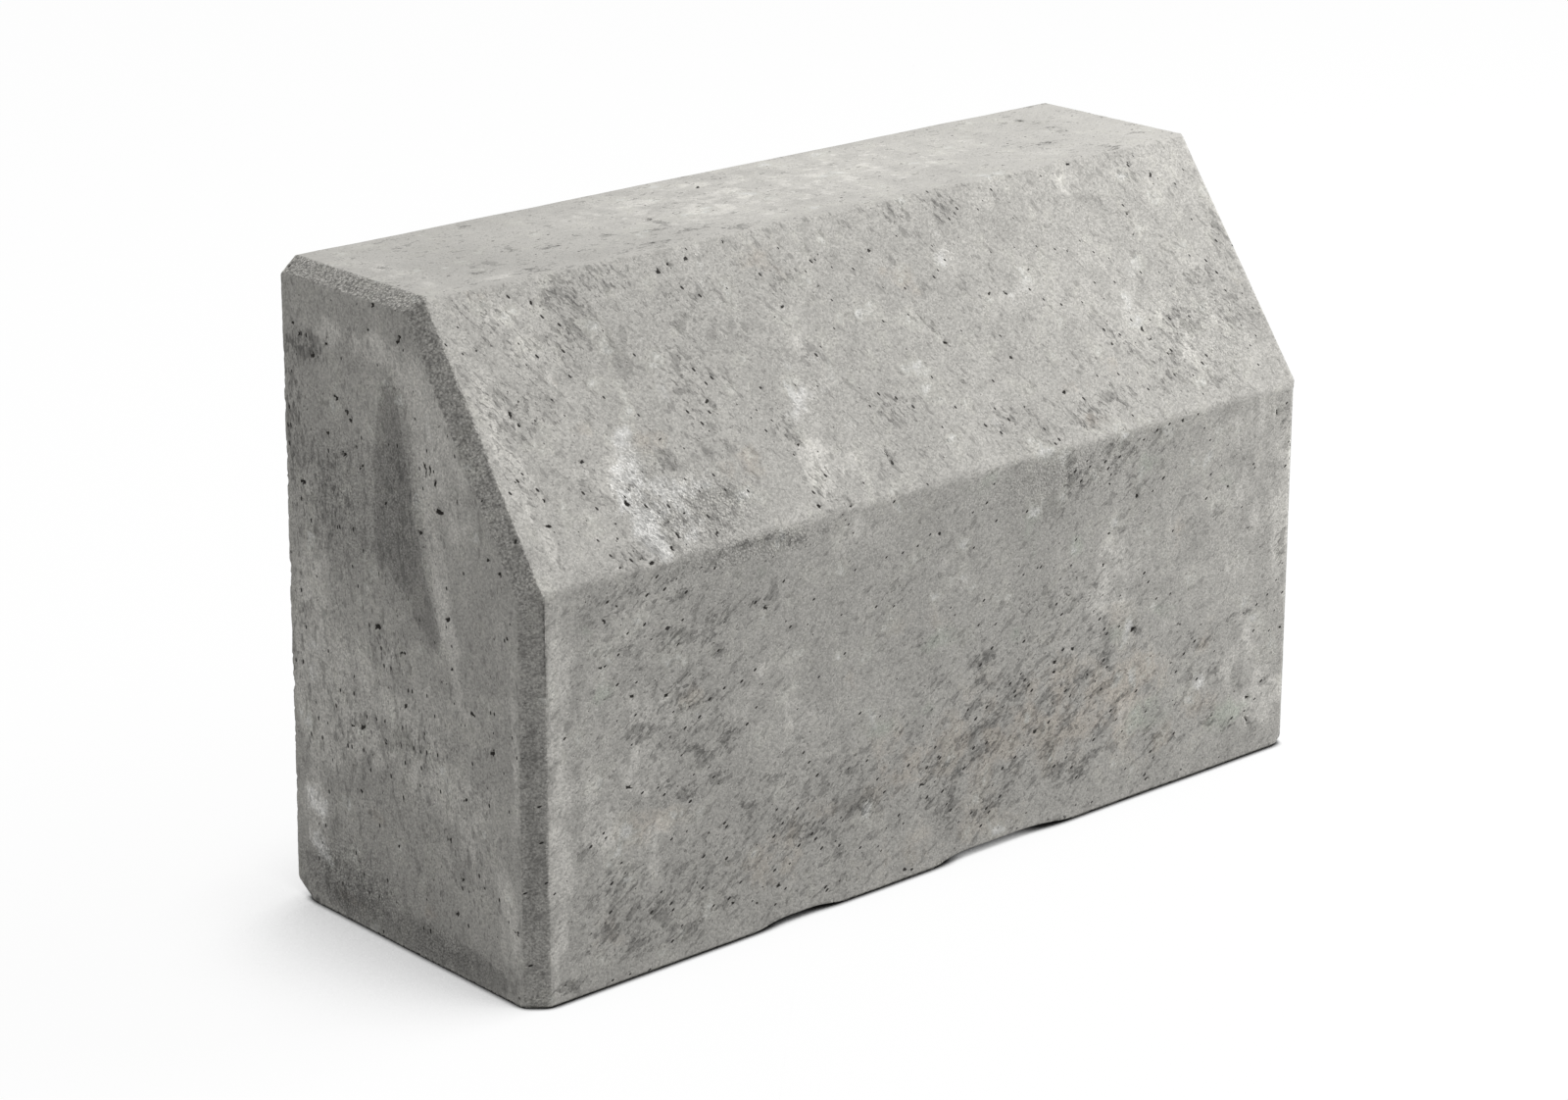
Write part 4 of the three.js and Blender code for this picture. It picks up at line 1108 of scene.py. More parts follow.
    def pinholes(self, tree: Tree, place: Socket, dirt: Socket) -> Socket:
        """Adds small holes, which the colour fills with painted shade, in one cell of a few, and in more
        where dirt has settled.

        Args:
            tree: The material's tree.
            place: Place on the face, in metres.
            dirt: How strongly dirt is painted here.

        Returns:
            1 inside a hole and 0 outside.
        """
        flat = {**ROUND_CELLS, "voronoi_dimensions": "2D"}
        cells = add(tree, "TexVoronoi", flat, Vector=place, Scale=1.0 / (self.pinhole_mm * MM))
        chance = add(tree, "SeparateColor", i0=cells.outputs["Color"]).outputs[0]
        lifted = add(tree, "Math", MULTIPLY_ADD, i0=dirt, i1=self.pinhole_dirt, i2=chance).outputs[0]
        first, widest = self.pinhole_chance
        radius = add(tree, "MapRange", i0=lifted, i1=first, i2=widest, i3=0.0, i4=self.pinhole_radius)
        rim = radius.outputs[0]
        inner = add(tree, "Math", MULTIPLY, i0=rim, i1=self.pinhole_floor).outputs[0]
        return add(tree, "MapRange", SOFT_STEP, i0=cells.outputs["Distance"], i1=rim, i2=inner).outputs[0]


@dataclass
class KerbStone:
    """The cast stone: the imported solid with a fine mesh, cast relief, worn arrises and air holes.

    Sizes are in millimetres and angles in degrees. Apart from splay_chamfer, a pair of numbers says
    where a mask begins and where it is full.
    """

    name: str = "kerb_stone_cast"
    cad_node: str = "kerb_stone"
    body: str = "root"
    slot: str = "concrete"
    concrete: CastConcrete = CastConcrete()

    # The blank, and the grid that it is cut into.
    merge_distance: float = 0.02  # corners nearer to each other than this are one
    plane_angle: float = 0.5  # faces that turn less than this are one
    coarse_step: float = 4.2  # the greatest distance between two cuts
    snap: float = 0.35  # a cut that is this near to a corner goes through it

    # The longest edge that each part of the surface keeps, and how far that part reaches.
    fine_edge: float = 2.5  # on all that is seen
    finest_edge: float = 1.35  # on the left end's chamfers, and in a band along the arrises
    chamfer_margin: float = 1.0
    arris_band: float = 3.0
    arris_edge: float = 0.8  # in a strip right along the arrises
    arris_strip: float = 1.1
    hole_edge: float = 0.55  # in the air holes, where edges are halved once in each round
    hole_margin: float = 0.5
    hole_rounds: int = 3

    # What a vertex is part of, by the share of its unit normal in one direction.
    seen_slope: float = 0.05  # more than this up, forwards or to the left is seen
    hole_facing: float = 0.7  # more than this out of a face may be in that face's holes
    end_flat: float = 0.999  # more than this to the left is the flat of the left end
    underside: float = -0.9  # less than this upwards is the bed

    # Arrises: what is sharp enough to be one, and how round it has worn.
    arris_angle: float = 20.0
    arris_radius: float = 0.8
    bed_radius: float = 0.4
    bed_zone: float = 4.0  # height up to which an arris is one of the bed's
    road_end_radius: float = 4.0
    road_zone: float = 0.5  # how near to the road face an arris is one of its upright ones

    # Relief of the cast skin: its mean depth, the lumps with their heights, and the sand.
    mean_relief: float = 0.16
    undulation: tuple[tuple[Unevenness, float], ...] = (
        (Unevenness(52.0, 2, 1.0), 0.16),
        (Unevenness(15.0, 3, 2.0), 0.07),
    )
    sand: Unevenness = Unevenness(2.4, 2, 3.0)
    sand_height: float = 0.07
    plain_sand: float = 0.3  # share of that height where the sand isn't laid bare

    # Uneven wear of the arrises, which spares the foot: what it adds to their radius.
    wear: Unevenness = Unevenness(9.0, 3, 4.0)
    worn_radius: float = 1.6
    worn_above: tuple[float, float] = (1.0, 8.0)

    # The crumbled arris between the left end and the back: what it adds to the radius, and where.
    crumbs: Unevenness = Unevenness(4.0, 4, 5.0)
    crumbs_middle: float = 0.1
    crumbs_gain: float = 1.4
    crumbled_radius: float = 2.6
    crumbled_near: tuple[float, float] = (9.0, 4.0)
    crumbled_above: tuple[float, float] = (15.0, 50.0)
    crumbled_below: tuple[float, float] = (240.0, 200.0)

    # The right end's two worn corners. The splay's chamfer, run and depth, gives the upper one its
    # slope, and the foot corner's direction is the one that its cut faces.
    splay_chamfer: tuple[float, float] = (5.8, 7.0)
    top_corner_length: float = 105.0
    top_corner_depth: float = 2.5
    foot_corner_depth: float = 2.4
    foot_corner_direction: tuple[float, float, float] = (0.62, -0.35, -0.70)

    # Masks by a share of the unit normal: out of a face, upwards, or sideways for the chamfers.
    own_face: tuple[float, float] = (0.72, 0.94)
    off_tread: tuple[float, float] = (0.95, 0.6)
    upright: tuple[float, float] = (0.25, 0.1)
    lying: tuple[float, float] = (0.6, 0.85)
    rim_inner: tuple[float, float] = (0.15, 0.4)
    rim_outer: tuple[float, float] = (0.95, 0.8)

    # Weathering: how a patch fades towards its rim at 1, and what follows the stone's own shape, with
    # painted shade along the foot, on the upright chamfers and in the air holes.
    patch_edge: tuple[float, float] = (1.3, 0.2)
    all_over_dirt: float = 0.05
    upright_chamfer_shade: float = 0.58  # painted shade on the upright chamfers, carried by the damp stain
    lying_sand: float = 0.5  # how much sandier the tread's chamfers are than the splay's
    upright_skin: float = 0.4  # how much less sandy the upright ones are
    foot_contact_shade: tuple[float, float] = (1.6, 0.4)  # painted contact shade at the foot, carried by the damp stain, by height
    foot_line: tuple[float, float] = (1.2, 0.5)  # painted shade line along the foot, by height
    foot_shade: float = 0.46  # how dark that painted shade line is
    hole_shade: float = 0.5  # how much of an air hole's painted shade is lost at its rim

    section: Section = field(init=False)
    planes: dict[Face, Plane] = field(init=False)
    patches: list[Patch] = field(init=False)
    air_holes: list[AirHole] = field(init=False)
    arrises: list[Arris] = field(init=False)

    def __post_init__(self) -> None:
        """Reads the section from the frame, and lists the patches and the air holes."""
        self.section = Section.of_node(self.cad_node)
        self.planes = self.section.planes()
        self.patches = [
            Patch(kind, face, *sizes)
            for face, kinds in WEATHERING.items()
            for kind, rows in kinds.items()
            for sizes in rows
        ]
        self.air_holes = [
            AirHole(face, u, v, HOLE_SIZE * long, HOLE_SIZE * short, HOLE_DEPTH * short, *turn)
            for face, rows in AIR_HOLES.items()
            for u, v, long, short, *turn in rows
        ]
        self.arrises = []

    def build(self) -> bpy.types.Object:
        """Makes the stone and tells the frame what it stands for.

        Returns:
            The finished object.
        """
        bm = self.blank()
        self.arrises = self.find_arrises(bm)
        LOG.info("blank: %d faces, %d arris edges", len(bm.faces), len(self.arrises))
        self.cut_grid(bm)
        LOG.info("grid: %d faces", len(bm.faces))
        self.refine(bm, self.fine_edge, self.seen)
        self.refine(bm, self.finest_edge, self.seen_closely)
        self.refine(bm, self.arris_edge, self.on_arris)
        for _ in range(self.hole_rounds):
            self.refine(bm, self.hole_edge, self.beside_hole)
        bmesh.ops.triangulate(bm, faces=bm.faces)
        mesh = bpy.data.meshes.new(self.name)
        bm.to_mesh(mesh)
        bm.free()
        self.weather(mesh)
        mesh.transform(Matrix.Scale(MM, 4))
        mesh.shade_smooth()
        stone = bpy.data.objects.new(self.name, mesh)
        bpy.context.scene.collection.objects.link(stone)
        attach(stone, self.body)
        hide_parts(self.cad_node)
        mesh.materials.append(self.concrete.build())
        return stone

    def blank(self) -> bmesh.types.BMesh:
        """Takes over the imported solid.

        Returns:
            The solid in millimetres, with each plane face in one piece.
        """
        bm = bmesh.new()
        bm.from_mesh(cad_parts[self.cad_node].data)
        bmesh.ops.scale(bm, vec=Vector((1, 1, 1)) / MM, verts=bm.verts)
        bmesh.ops.remove_doubles(bm, verts=bm.verts, dist=self.merge_distance)
        angle = math.radians(self.plane_angle)
        bmesh.ops.dissolve_limit(bm, angle_limit=angle, verts=bm.verts, edges=bm.edges)
        return bm

    def find_arrises(self, bm: bmesh.types.BMesh) -> list[Arris]:
        """Finds where the sharp arrises run, and how far the surface turns at each.

        Args:
            bm: The blank.

        Returns:
            Every sharp edge.
        """
        sharp = math.radians(self.arris_angle)
        front = self.road_zone - self.section.width / 2
        arrises = []
        for edge in bm.edges:
            turn = edge.calc_face_angle(0.0)
            start, end = (np.array(vert.co) for vert in edge.verts)
            if max(start[2], end[2]) < self.bed_zone:
                radius = self.bed_radius
            elif max(start[1], end[1]) < front:
                radius = self.road_end_radius
            else:
                radius = self.arris_radius
            if turn > sharp:
                arrises.append(Arris(start, end, turn, radius))
        return arrises

    def cut_grid(self, bm: bmesh.types.BMesh) -> None:
        """Slices the blank into a grid of small faces.

        Args:
            bm: The blank.
        """
        s = self.section
        step = self.coarse_step
        steep = step * (s.height - s.knee_height) / s.splay_length
        self.slice(bm, 0, -s.length / 2, s.length / 2, step)
        self.slice(bm, 2, 0.0, s.knee_height, step)
        self.slice(bm, 2, s.knee_height, s.height, steep)
        self.slice(bm, 1, -s.width / 2, s.width / 2, step)

    def slice(self, bm: bmesh.types.BMesh, axis: int, low: float, high: float, step: float) -> None:
        """Cuts a mesh by evenly spaced planes.

        Args:
            bm: The mesh.
            axis: 0, 1 or 2 for planes across X, Y or Z.
            low: Where the spacing starts.
            high: Where the spacing ends.
            step: The greatest distance between two planes.
        """
        count = math.ceil((high - low) / step)
        normal = Vector([float(i == axis) for i in range(3)])
        for i in range(1, count):
            bmesh.ops.bisect_plane(
                bm,
                geom=bm.verts[:] + bm.edges[:] + bm.faces[:],
                dist=self.snap,
                plane_co=normal * (low + (high - low) * i / count),
                plane_no=normal,
            )

    def refine(
        self,
        bm: bmesh.types.BMesh,
        longest: float,
        wanted: Callable[[np.ndarray, np.ndarray], np.ndarray],
    ) -> None:
        """Halves the long edges whose two ends are both wanted.

        Args:
            bm: The mesh.
            longest: The length up to which an edge may stay whole.
            wanted: Takes the vertices' places and normals and says which are wanted.
        """
        bm.normal_update()
        bm.verts.index_update()
        points = np.array([v.co[:] for v in bm.verts])
        normals = np.array([v.normal[:] for v in bm.verts])
        chosen = wanted(points, normals)
        edges = [
            edge
            for edge in bm.edges
            if all(chosen[vert.index] for vert in edge.verts) and edge.calc_length() > longest
        ]
        bmesh.ops.subdivide_edges(bm, edges=edges, cuts=1, use_grid_fill=True)
        LOG.info("refined: %d edges, now %d faces", len(edges), len(bm.faces))

    def seen(self, points: np.ndarray, normals: np.ndarray) -> np.ndarray:
        """Vertices of the tread, the road face, the splay and the left end, with their arrises."""
        left, front, up = -normals[:, 0], -normals[:, 1], normals[:, 2]
        return (left > self.seen_slope) | (front > self.seen_slope) | (up > self.seen_slope)

    def seen_closely(self, points: np.ndarray, normals: np.ndarray) -> np.ndarray:
        """Vertices of the left end's chamfers and beside the arrises that are seen."""
        near = self.seen(points, normals) & (self.to_arris(points)[0] < self.arris_band)
        return self.on_chamfer(points, normals) | near

    def on_arris(self, points: np.ndarray, normals: np.ndarray) -> np.ndarray:
        """Vertices on or right beside the arrises that are seen."""
        return self.seen(points, normals) & (self.to_arris(points)[0] < self.arris_strip)

    def beside_hole(self, points: np.ndarray, normals: np.ndarray) -> np.ndarray:
        """Finds the vertices in and just around the air holes.

        Args:
            points: The vertices' places.
            normals: Their normals.

        Returns:
            Whether each one is.
        """
        beside = np.zeros(len(points), dtype=bool)
        for hole in self.air_holes:
            facing = normals @ self.planes[hole.face].normal > self.hole_facing
            gap = np.linalg.norm(points - self.planes[hole.face].place(hole.u, hole.v), axis=1)
            beside |= facing & (gap < hole.long + self.hole_margin)
        return beside

    def on_chamfer(self, points: np.ndarray, normals: np.ndarray) -> np.ndarray:
        """Finds the vertices of the left end's chamfers.

        Args:
            points: The vertices' places.
            normals: Their normals.

        Returns:
            Whether each one is.
        """
        s = self.section
        inner = -s.length / 2 + s.end_draft * points[:, 2] / s.height
        run = points[:, 0] - inner
        beside = (run > -self.chamfer_margin) & (run < s.chamfer_run + self.chamfer_margin)
        flat = (-normals[:, 0] > self.end_flat) | (normals[:, 2] < self.underside)
        return beside & ~flat

    def to_arris(self, points: np.ndarray) -> tuple[np.ndarray, np.ndarray, np.ndarray]:
        """How far each point is from the nearest arris, and how sharp and how round that arris is.

        Args:
            points: Places, one row each.

        Returns:
            Distances, turns in radians, and worn radii.
        """
        nearest = np.full(len(points), np.inf)
        turns = np.zeros(len(points))
        radii = np.zeros(len(points))
        for arris in self.arrises:
            along = arris.end - arris.start
            share = np.clip((points - arris.start) @ along / (along @ along), 0.0, 1.0)
            gap = np.linalg.norm(points - arris.start - share[:, None] * along, axis=1)
            closer = gap < nearest
            nearest[closer] = gap[closer]
            turns[closer] = arris.turn
            radii[closer] = arris.radius
        return nearest, turns, radii

    def facing(self, face: Face, normals: np.ndarray) -> np.ndarray:
        """How far each vertex belongs to a face, from 0 to 1, by its normal."""
        return smoothstep(*self.own_face, normals @ self.planes[face].normal)

    def on_rim(self, normals: np.ndarray) -> np.ndarray:
        """How far each vertex belongs to a butt end's chamfer, from 0 to 1, by its normal."""
        sideways = np.abs(normals[:, 0])
        return smoothstep(*self.rim_inner, sideways) * smoothstep(*self.rim_outer, sideways)

    def reach(self, mark: Patch | AirHole, points: np.ndarray) -> np.ndarray:
        """How far each point lies from a mark's middle.

        Args:
            mark: The mark.
            points: Places, one row each.

        Returns:
            The distances, where 1 is the mark's rim.
        """
        offset = self.planes[mark.face].flatten(points) - (mark.u, mark.v)
        turn = math.radians(mark.turn)
        along = offset @ (math.cos(turn), math.sin(turn))
        aside = offset @ (-math.sin(turn), math.cos(turn))
        return np.hypot(along / mark.long, aside / mark.short)

    def weather(self, mesh: bpy.types.Mesh) -> None:
        """Paints the weathering, and shade at the foot and in the air holes, as attributes, and moves the
        surface into its relief.

        Args:
            mesh: The fine mesh, in millimetres.
        """
        count = len(mesh.vertices)
        points = np.empty(count * 3)
        normals = np.empty(count * 3)
        mesh.vertices.foreach_get("co", points)
        mesh.vertex_normals.foreach_get("vector", normals)
        points, normals = points.reshape(-1, 3), normals.reshape(-1, 3)
        self.lay_pattern(mesh, points)
        painted = self.painted(points, normals)
        relief = self.cast_relief(points, painted[Stain.SANDY])
        # Painted shade: a dark line along the foot, and the dark inside each air hole.
        holes = self.foot_shade * smoothstep(*self.foot_line, points[:, 2])
        for hole in self.air_holes:
            reach = self.reach(hole, points)
            facing = self.facing(hole.face, normals)
            relief += hole.depth * np.sqrt(np.clip(1.0 - reach**2, 0.0, 1.0) * facing)
            holes = np.maximum(holes, np.clip(1.0 - self.hole_shade * reach, 0.0, 1.0) * facing)
        painted[Mask.HOLE] = holes
        relief = np.maximum(relief, 0.0) * (normals[:, 2] > self.underside)
        moved = points - normals * relief[:, None]
        for corner in self.worn_corners():
            moved -= corner.beyond(moved)[:, None] * corner.normal
        moved = np.clip(moved, np.array(CAD_BOX[0]) / MM, np.array(CAD_BOX[1]) / MM)
        mesh.vertices.foreach_set("co", moved.ravel())
        for mark, values in painted.items():
            attribute = mesh.attributes.new(mark.value, "FLOAT", "POINT")
            attribute.data.foreach_set("value", values.astype(np.float32))
        mesh.update()

    def painted(self, points: np.ndarray, normals: np.ndarray) -> dict[Stain | Mask, np.ndarray]:
        """Works out how strongly each stain shows at each vertex, from 0 to 1, with the painted shade
        that the damp stain carries at the foot and on the upright chamfers.

        Args:
            points: The vertices' places.
            normals: Their normals.

        Returns:
            The strengths, with the mask of what is exposed.
        """
        height, up = points[:, 2], normals[:, 2]
        rim = self.on_rim(normals)
        exposed = smoothstep(*self.off_tread, up)
        upright = smoothstep(*self.upright, up)
        lying = smoothstep(*self.lying, up)
        painted = {kind: self.stained(kind, points, normals) for kind in Stain}
        clean = (1.0 - painted[Stain.SPECKS]) * (1.0 - self.all_over_dirt * exposed)
        painted[Stain.SPECKS] = 1.0 - clean
        # Painted shade: darker at the foot, where the stone meets the floor, and on the upright chamfers;
        # the damp stain carries it.
        foot_and_chamfer_shade = np.maximum(smoothstep(*self.foot_contact_shade, height), self.upright_chamfer_shade * rim * upright)
        painted[Stain.DAMP] = np.maximum(painted[Stain.DAMP], foot_and_chamfer_shade)
        painted[Stain.FILM] = np.maximum(painted[Stain.FILM], rim * lying)
        bared = rim * (1.0 + self.lying_sand * lying - self.upright_skin * upright)
        painted[Stain.SANDY] = np.maximum(painted[Stain.SANDY], bared)
        painted[Mask.EXPOSED] = exposed
        return painted

    def stained(self, kind: Stain, points: np.ndarray, normals: np.ndarray) -> np.ndarray:
        """Adds up the patches of one kind of weathering.

        Args:
            kind: The kind.
            points: The vertices' places.
            normals: Their normals.

        Returns:
            How strongly it shows at each vertex, from 0 to 1.
        """
        bare = np.ones(len(points))
        for patch in self.patches:
            if patch.kind is kind:
                fading = smoothstep(*self.patch_edge, self.reach(patch, points))
                bare *= 1.0 - patch.amount * fading * self.facing(patch.face, normals)
        return 1.0 - bare

    def cast_relief(self, points: np.ndarray, sandy: np.ndarray) -> np.ndarray:
        """How far the mould, the sand and wear take the surface in.

        Args:
            points: The vertices' places.
            sandy: How sandy the surface is at each.

        Returns:
            Depths in millimetres.
        """
        depth = np.full(len(points), self.mean_relief)
        for lumps, height in self.undulation:
            depth += height * lumps.at(points)
        depth += self.sand_height * (self.plain_sand + sandy) * self.sand.at(points)
        return depth + self.rounding(points)

    def rounding(self, points: np.ndarray) -> np.ndarray:
        """How far the worn rounding of the arrises takes the surface in.

        Args:
            points: The vertices' places.

        Returns:
            Depths in millimetres.
        """
        gap, turn, radius = self.to_arris(points)
        worn = np.clip(self.wear.at(points), 0.0, 1.0) * smoothstep(*self.worn_above, points[:, 2])
        radius += self.worn_radius * worn
        crumbs = np.clip(self.crumbs_middle + self.crumbs_gain * self.crumbs.at(points), 0.0, 1.0)
        radius += self.crumbled_radius * crumbs * self.crumbling(points)
        reach = radius * np.tan(turn / 2)
        inward = np.clip(reach - gap, 0.0, radius)
        on_face = radius - np.sqrt(radius**2 - inward**2)
        on_edge = radius * (1.0 / np.cos(turn / 2) - 1.0)
        return np.minimum(on_face, on_edge)

    def crumbling(self, points: np.ndarray) -> np.ndarray:
        """How badly the arris between the left end and the back has crumbled.

        Args:
            points: The vertices' places.

        Returns:
            Shares from 0 to 1.
        """
        s = self.section
        beside = np.hypot(points[:, 0] + s.length / 2, points[:, 1] - s.width / 2)
        low = smoothstep(*self.crumbled_above, points[:, 2])
        high = smoothstep(*self.crumbled_below, points[:, 2])
        return smoothstep(*self.crumbled_near, beside) * low * high

    def worn_corners(self) -> list[WornCorner]:
        """Places the right end's two worn corners beside the road.

        Returns:
            The top corner, which wears back along the splay, and the foot corner.
        """
        s = self.section
        splay = self.planes[Face.SPLAY]
        run, depth = self.splay_chamfer
        edge = s.length / 2 - s.end_draft - run
        start = splay.place(edge, s.splay_length - self.top_corner_length)
        chamfer = (depth * np.array(splay.across) + run * splay.normal) / math.hypot(run, depth)
        leaning = chamfer + self.top_corner_depth / self.top_corner_length * np.array(splay.up)
        outward = np.array(self.foot_corner_direction)
        outward /= np.linalg.norm(outward)
        foot = np.array((s.length / 2 - s.chamfer_run, -s.width / 2, 0.0))
        return [
            WornCorner(start, leaning / np.linalg.norm(leaning)),
            WornCorner(foot - self.foot_corner_depth * outward, outward),
        ]

    def lay_pattern(self, mesh: bpy.types.Mesh, points: np.ndarray) -> None:
        """Gives the mesh a UV map in metres, whose U runs the way the mix was drawn on each face.

        Args:
            mesh: The fine mesh, in millimetres, before its relief.
            points: Its vertices' places.
        """
        corners = len(mesh.loops)
        vertex = np.empty(corners, dtype=np.int64)
        mesh.loops.foreach_get("vertex_index", vertex)
        totals = np.empty(len(mesh.polygons), dtype=np.int64)
        mesh.polygons.foreach_get("loop_total", totals)
        facing = np.empty(len(mesh.polygons) * 3)
        mesh.polygon_normals.foreach_get("vector", facing)
        facing = np.repeat(facing.reshape(-1, 3), totals, axis=0)
        match = np.stack([facing @ plane.normal for plane in self.planes.values()], axis=1).argmax(axis=1)
        flat = np.zeros((corners, 2))
        for i, plane in enumerate(self.planes.values()):
            chosen = match == i
            turn = math.radians(plane.grain_turn)
            own = plane.flatten(points[vertex[chosen]]) * MM
            flat[chosen, 0] = own @ (math.cos(turn), math.sin(turn)) + i
            flat[chosen, 1] = own @ (-math.sin(turn), math.cos(turn)) + i
        mesh.uv_layers.new(name=LAY_MAP).uv.foreach_set("vector", flat.astype(np.float32).ravel())


@dataclass(frozen=True)
class Viewpoint:
    """The camera: a long lens from the front left, a little above the stone.

    Attributes:
        azimuth: Its direction from the stone, in degrees from straight before the road face.
        elevation: How far it looks down, in degrees.
        distance: Distance from its aim, in metres.
        lens: Focal length, in millimetres.
        sensor: Width of its sensor, in millimetres.
        aim: The point that it looks at, in metres.
    """

    azimuth: float = -41.7072
    elevation: float = 18.6913
    distance: float = 1.60802
    lens: float = 92.467
    sensor: float = 36.0
    aim: tuple[float, float, float] = (-0.01299, 0.00573, 0.11461)

    def build(self) -> bpy.types.Object:
        """Makes the scene's camera.

        Returns:
            The camera.
        """
        turn, tilt = math.radians(self.azimuth), math.radians(self.elevation)
        flat = math.cos(tilt)
        back = Vector((math.sin(turn) * flat, -math.cos(turn) * flat, math.sin(tilt)))
        right = Vector((math.cos(turn), math.sin(turn), 0.0))
        up = back.cross(right)
        data = bpy.data.cameras.new("camera")
        data.lens = self.lens
        data.sensor_width = self.sensor
        data.sensor_fit = "HORIZONTAL"
        camera = bpy.data.objects.new("camera", data)
        turned = Matrix((right, up, back)).transposed().to_4x4()
        camera.matrix_world = Matrix.Translation(Vector(self.aim) + back * self.distance) @ turned
        bpy.context.scene.collection.objects.link(camera)
        bpy.context.scene.camera = camera
        return camera


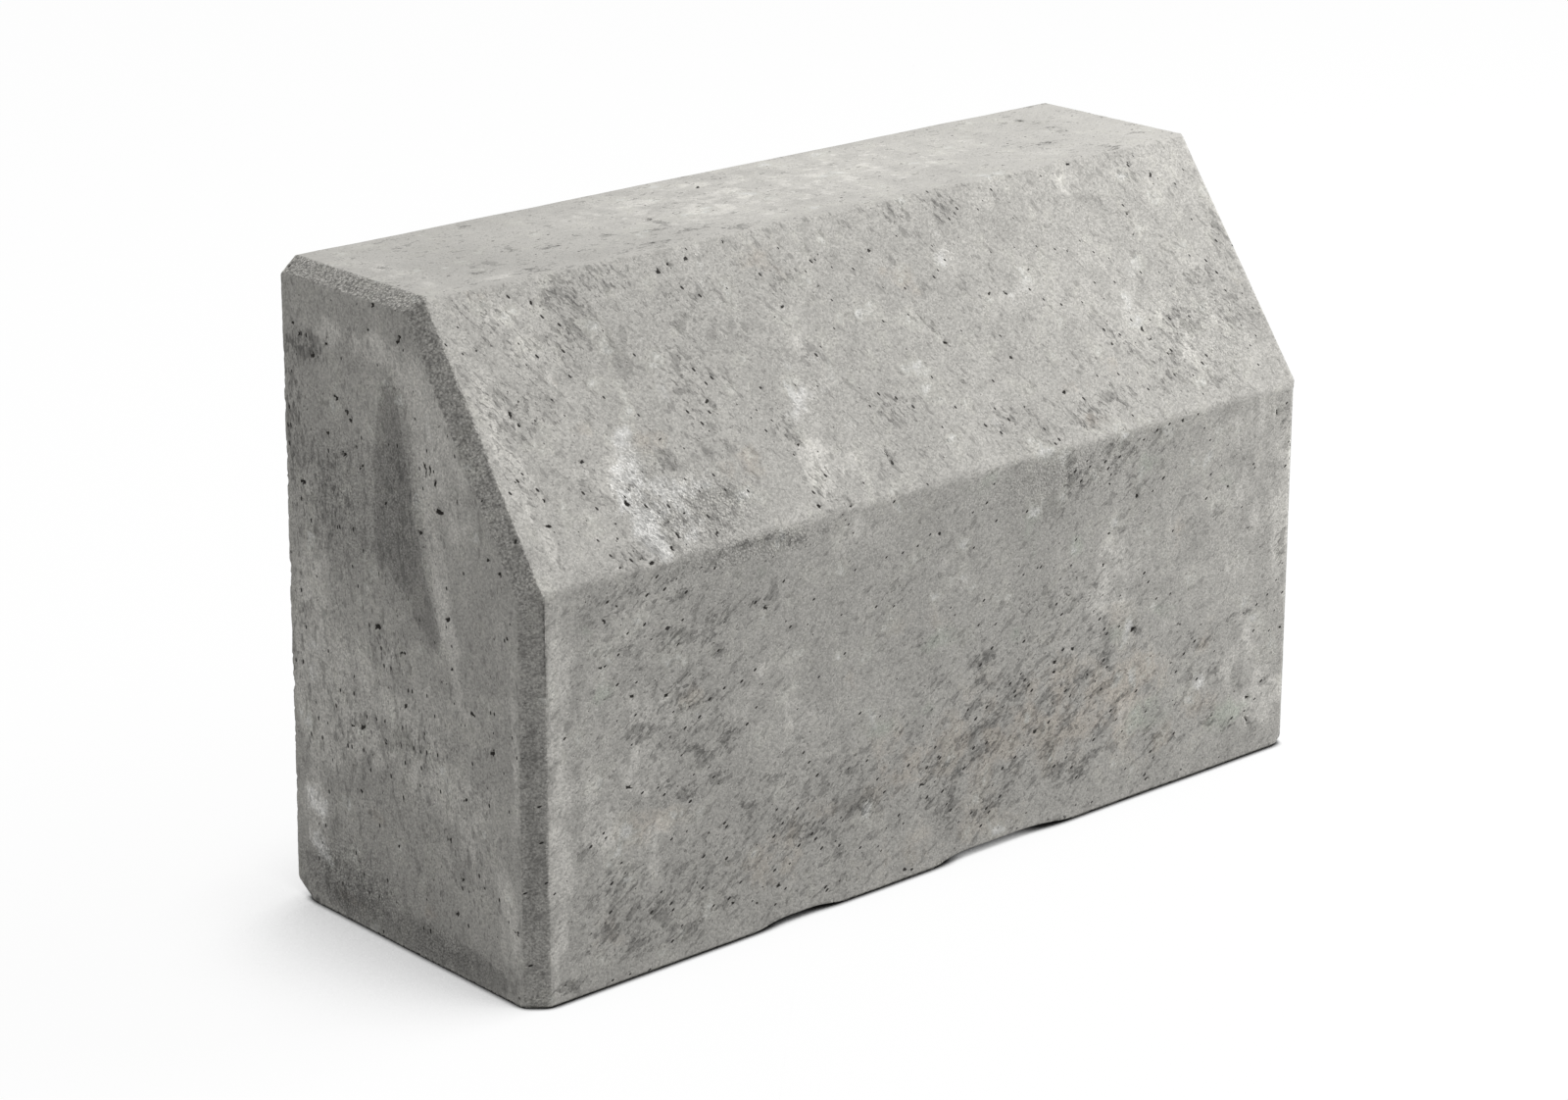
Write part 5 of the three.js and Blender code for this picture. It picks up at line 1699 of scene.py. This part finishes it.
@dataclass(frozen=True)
class Studio:
    """A pale sweep of floor under soft light from the right, before a white background; the floor's glow
    carries a painted shadow beside the stone.

    Attributes:
        floor_half_width: Half the floor's width, in metres.
        floor_drop: How far the floor lies under the stone, in metres, so that the two don't touch.
        floor_colour: The floor's colour, as it is seen.
        floor_bounce: The floor's colour, as it throws light back at the stone.
        floor_glow: Share of the floor's own light in how it is seen.
        ambient: Strength of the even light from all round.
        key_power: Power of the key light, in watts.
        key_size: Width of its square panel, in metres.
        key_distance: Its distance from the origin, in metres.
        key_direction: Its direction from the origin.
        shade_samples: Rays that each of the two shades on the floor is found with.
        contact_reach: How far from the stone the painted line of contact reaches, in metres.
        contact_edge: Openness of the floor where that line is darkest and where it ends.
        shadow_reach: How far from the stone its painted soft shadow reaches, in metres.
        shadow_side: Direction from which the light that the painted shadow stands for comes.
        shadow_depth: How dark it is.
        shadow_fall: How fast it fades with distance.
    """

    floor_half_width: float = 6.0
    floor_drop: float = 0.02 * MM
    floor_colour: str = "#EDEDED"
    floor_bounce: str = "#A4A4A4"
    floor_glow: float = 0.95
    ambient: float = 0.66
    key_power: float = 29.0
    key_size: float = 0.9
    key_distance: float = 1.7
    key_direction: tuple[float, float, float] = (0.72, -0.24, 0.65)
    shade_samples: int = 8
    contact_reach: float = 3.8 * MM
    contact_edge: tuple[float, float] = (0.42, 0.92)
    shadow_reach: float = 100 * MM
    shadow_side: tuple[float, float, float] = (0.7, -0.35, 0.62)
    shadow_depth: float = 1.1
    shadow_fall: float = 2.0

    def build(self) -> None:
        """Makes the world, the floor and the light."""
        self.world()
        self.floor()
        self.key()

    def seen_directly(self, tree: Tree) -> Socket:
        """Finds where the camera, a reflection or clear glass looks straight at a surface.

        Args:
            tree: The world's or the material's tree.

        Returns:
            1 there, else 0.
        """
        path = add(tree, "LightPath").outputs
        plain = add(tree, "Math", MAXIMUM, i0=path["Is Camera Ray"], i1=path["Is Glossy Ray"])
        clear = add(tree, "Math", MAXIMUM, i0=plain.outputs[0], i1=path["Is Transmission Ray"])
        return clear.outputs[0]

    def world(self) -> None:
        """Lights the scene evenly from all round, before a background of plain white."""
        world = bpy.data.worlds.new("studio_world")
        world.use_nodes = True
        tree = world.node_tree
        tree.nodes.clear()
        light = add(tree, "Background", Color=WHITE, Strength=self.ambient)
        white = add(tree, "Background", Color=WHITE, Strength=1.0)
        seen = self.seen_directly(tree)
        mixed = add(tree, "MixShader", i0=seen, i1=light.outputs[0], i2=white.outputs[0])
        add(tree, "OutputWorld", Surface=mixed.outputs[0])
        bpy.context.scene.world = world

    def floor(self) -> bpy.types.Object:
        """Makes the floor, nearly white to the eye, which throws little light back at the stone.

        Returns:
            The floor.
        """
        bm = bmesh.new()
        bmesh.ops.create_grid(bm, x_segments=1, y_segments=1, size=self.floor_half_width)
        bmesh.ops.translate(bm, vec=Vector((0.0, 0.0, -self.floor_drop)), verts=bm.verts)
        mesh = bpy.data.meshes.new("studio_floor")
        bm.to_mesh(mesh)
        bm.free()
        mesh.materials.append(self.floor_paint())
        floor = bpy.data.objects.new("studio_floor", mesh)
        bpy.context.scene.collection.objects.link(floor)
        return floor

    def floor_paint(self) -> bpy.types.Material:
        """Makes the floor's material, which glows bright but for the painted shade and shadow beside the
        stone.

        Returns:
            The material.
        """
        material = bpy.data.materials.new("painted_floor")
        material.use_nodes = True
        tree = material.node_tree
        tree.nodes.clear()
        painted_shadow_glow = self.painted_shadow_glow(tree)
        paint = add(tree, "BsdfDiffuse", Color=linear(self.floor_colour))
        glow = add(tree, "Emission", Color=WHITE, Strength=painted_shadow_glow)
        pale = add(tree, "MixShader", i0=self.floor_glow, i1=paint.outputs[0], i2=glow.outputs[0])
        dim = add(tree, "BsdfDiffuse", Color=linear(self.floor_bounce))
        seen = self.seen_directly(tree)
        both = add(tree, "MixShader", i0=seen, i1=dim.outputs[0], i2=pale.outputs[0])
        add(tree, "OutputMaterial", Surface=both.outputs[0])
        return material

    def painted_shadow_glow(self, tree: Tree) -> Socket:
        """Paints the line of contact and the soft shadow into the floor's glow, from how open the floor
        is to the light.

        Args:
            tree: The floor's tree.

        Returns:
            1 in the open, and less beside the stone.
        """
        rays = {"samples": self.shade_samples}
        near = add(tree, "AmbientOcclusion", rays, Distance=self.contact_reach).outputs["AO"]
        darkest, ends = self.contact_edge
        contact = add(tree, "MapRange", SOFT_STEP, i0=near, i1=darkest, i2=ends).outputs[0]
        x, y, z = self.shadow_side
        side = add(tree, "CombineXYZ", i0=x, i1=y, i2=z).outputs[0]
        beside = add(tree, "AmbientOcclusion", rays, Distance=self.shadow_reach, Normal=side)
        in_the_open = (1.0 + z) / 2
        blocked = add(
            tree, "MapRange", i0=beside.outputs["AO"], i1=0.0, i2=in_the_open, i3=1.0, i4=0.0
        ).outputs[0]
        shadow = add(tree, "Math", {"operation": "POWER"}, i0=blocked, i1=self.shadow_fall).outputs[0]
        bright = add(tree, "Math", MULTIPLY_ADD, i0=shadow, i1=-self.shadow_depth, i2=1.0).outputs[0]
        return add(tree, "Math", MULTIPLY, i0=contact, i1=bright).outputs[0]

    def key(self) -> bpy.types.Object:
        """Makes the soft key light, a square panel that faces the stone.

        Returns:
            The light.
        """
        data = bpy.data.lights.new("key_panel", "AREA")
        data.energy = self.key_power
        data.shape = "SQUARE"
        data.size = self.key_size
        towards = Vector(self.key_direction).normalized()
        lamp = bpy.data.objects.new("key_panel", data)
        lamp.location = towards * self.key_distance
        lamp.rotation_euler = towards.to_track_quat("Z", "Y").to_euler()
        bpy.context.scene.collection.objects.link(lamp)
        return lamp


def main() -> None:
    """Builds the camera, the studio and the stone."""
    logging.basicConfig(level=logging.INFO, format="%(name)s: %(message)s")
    bpy.context.scene.view_settings.view_transform = "Standard"
    Viewpoint().build()
    Studio().build()
    stone = KerbStone().build()
    LOG.info("%s: %d triangles", stone.name, len(stone.data.polygons))
    bpy.context.view_layer.update()


if __name__ == "__main__":
    main()
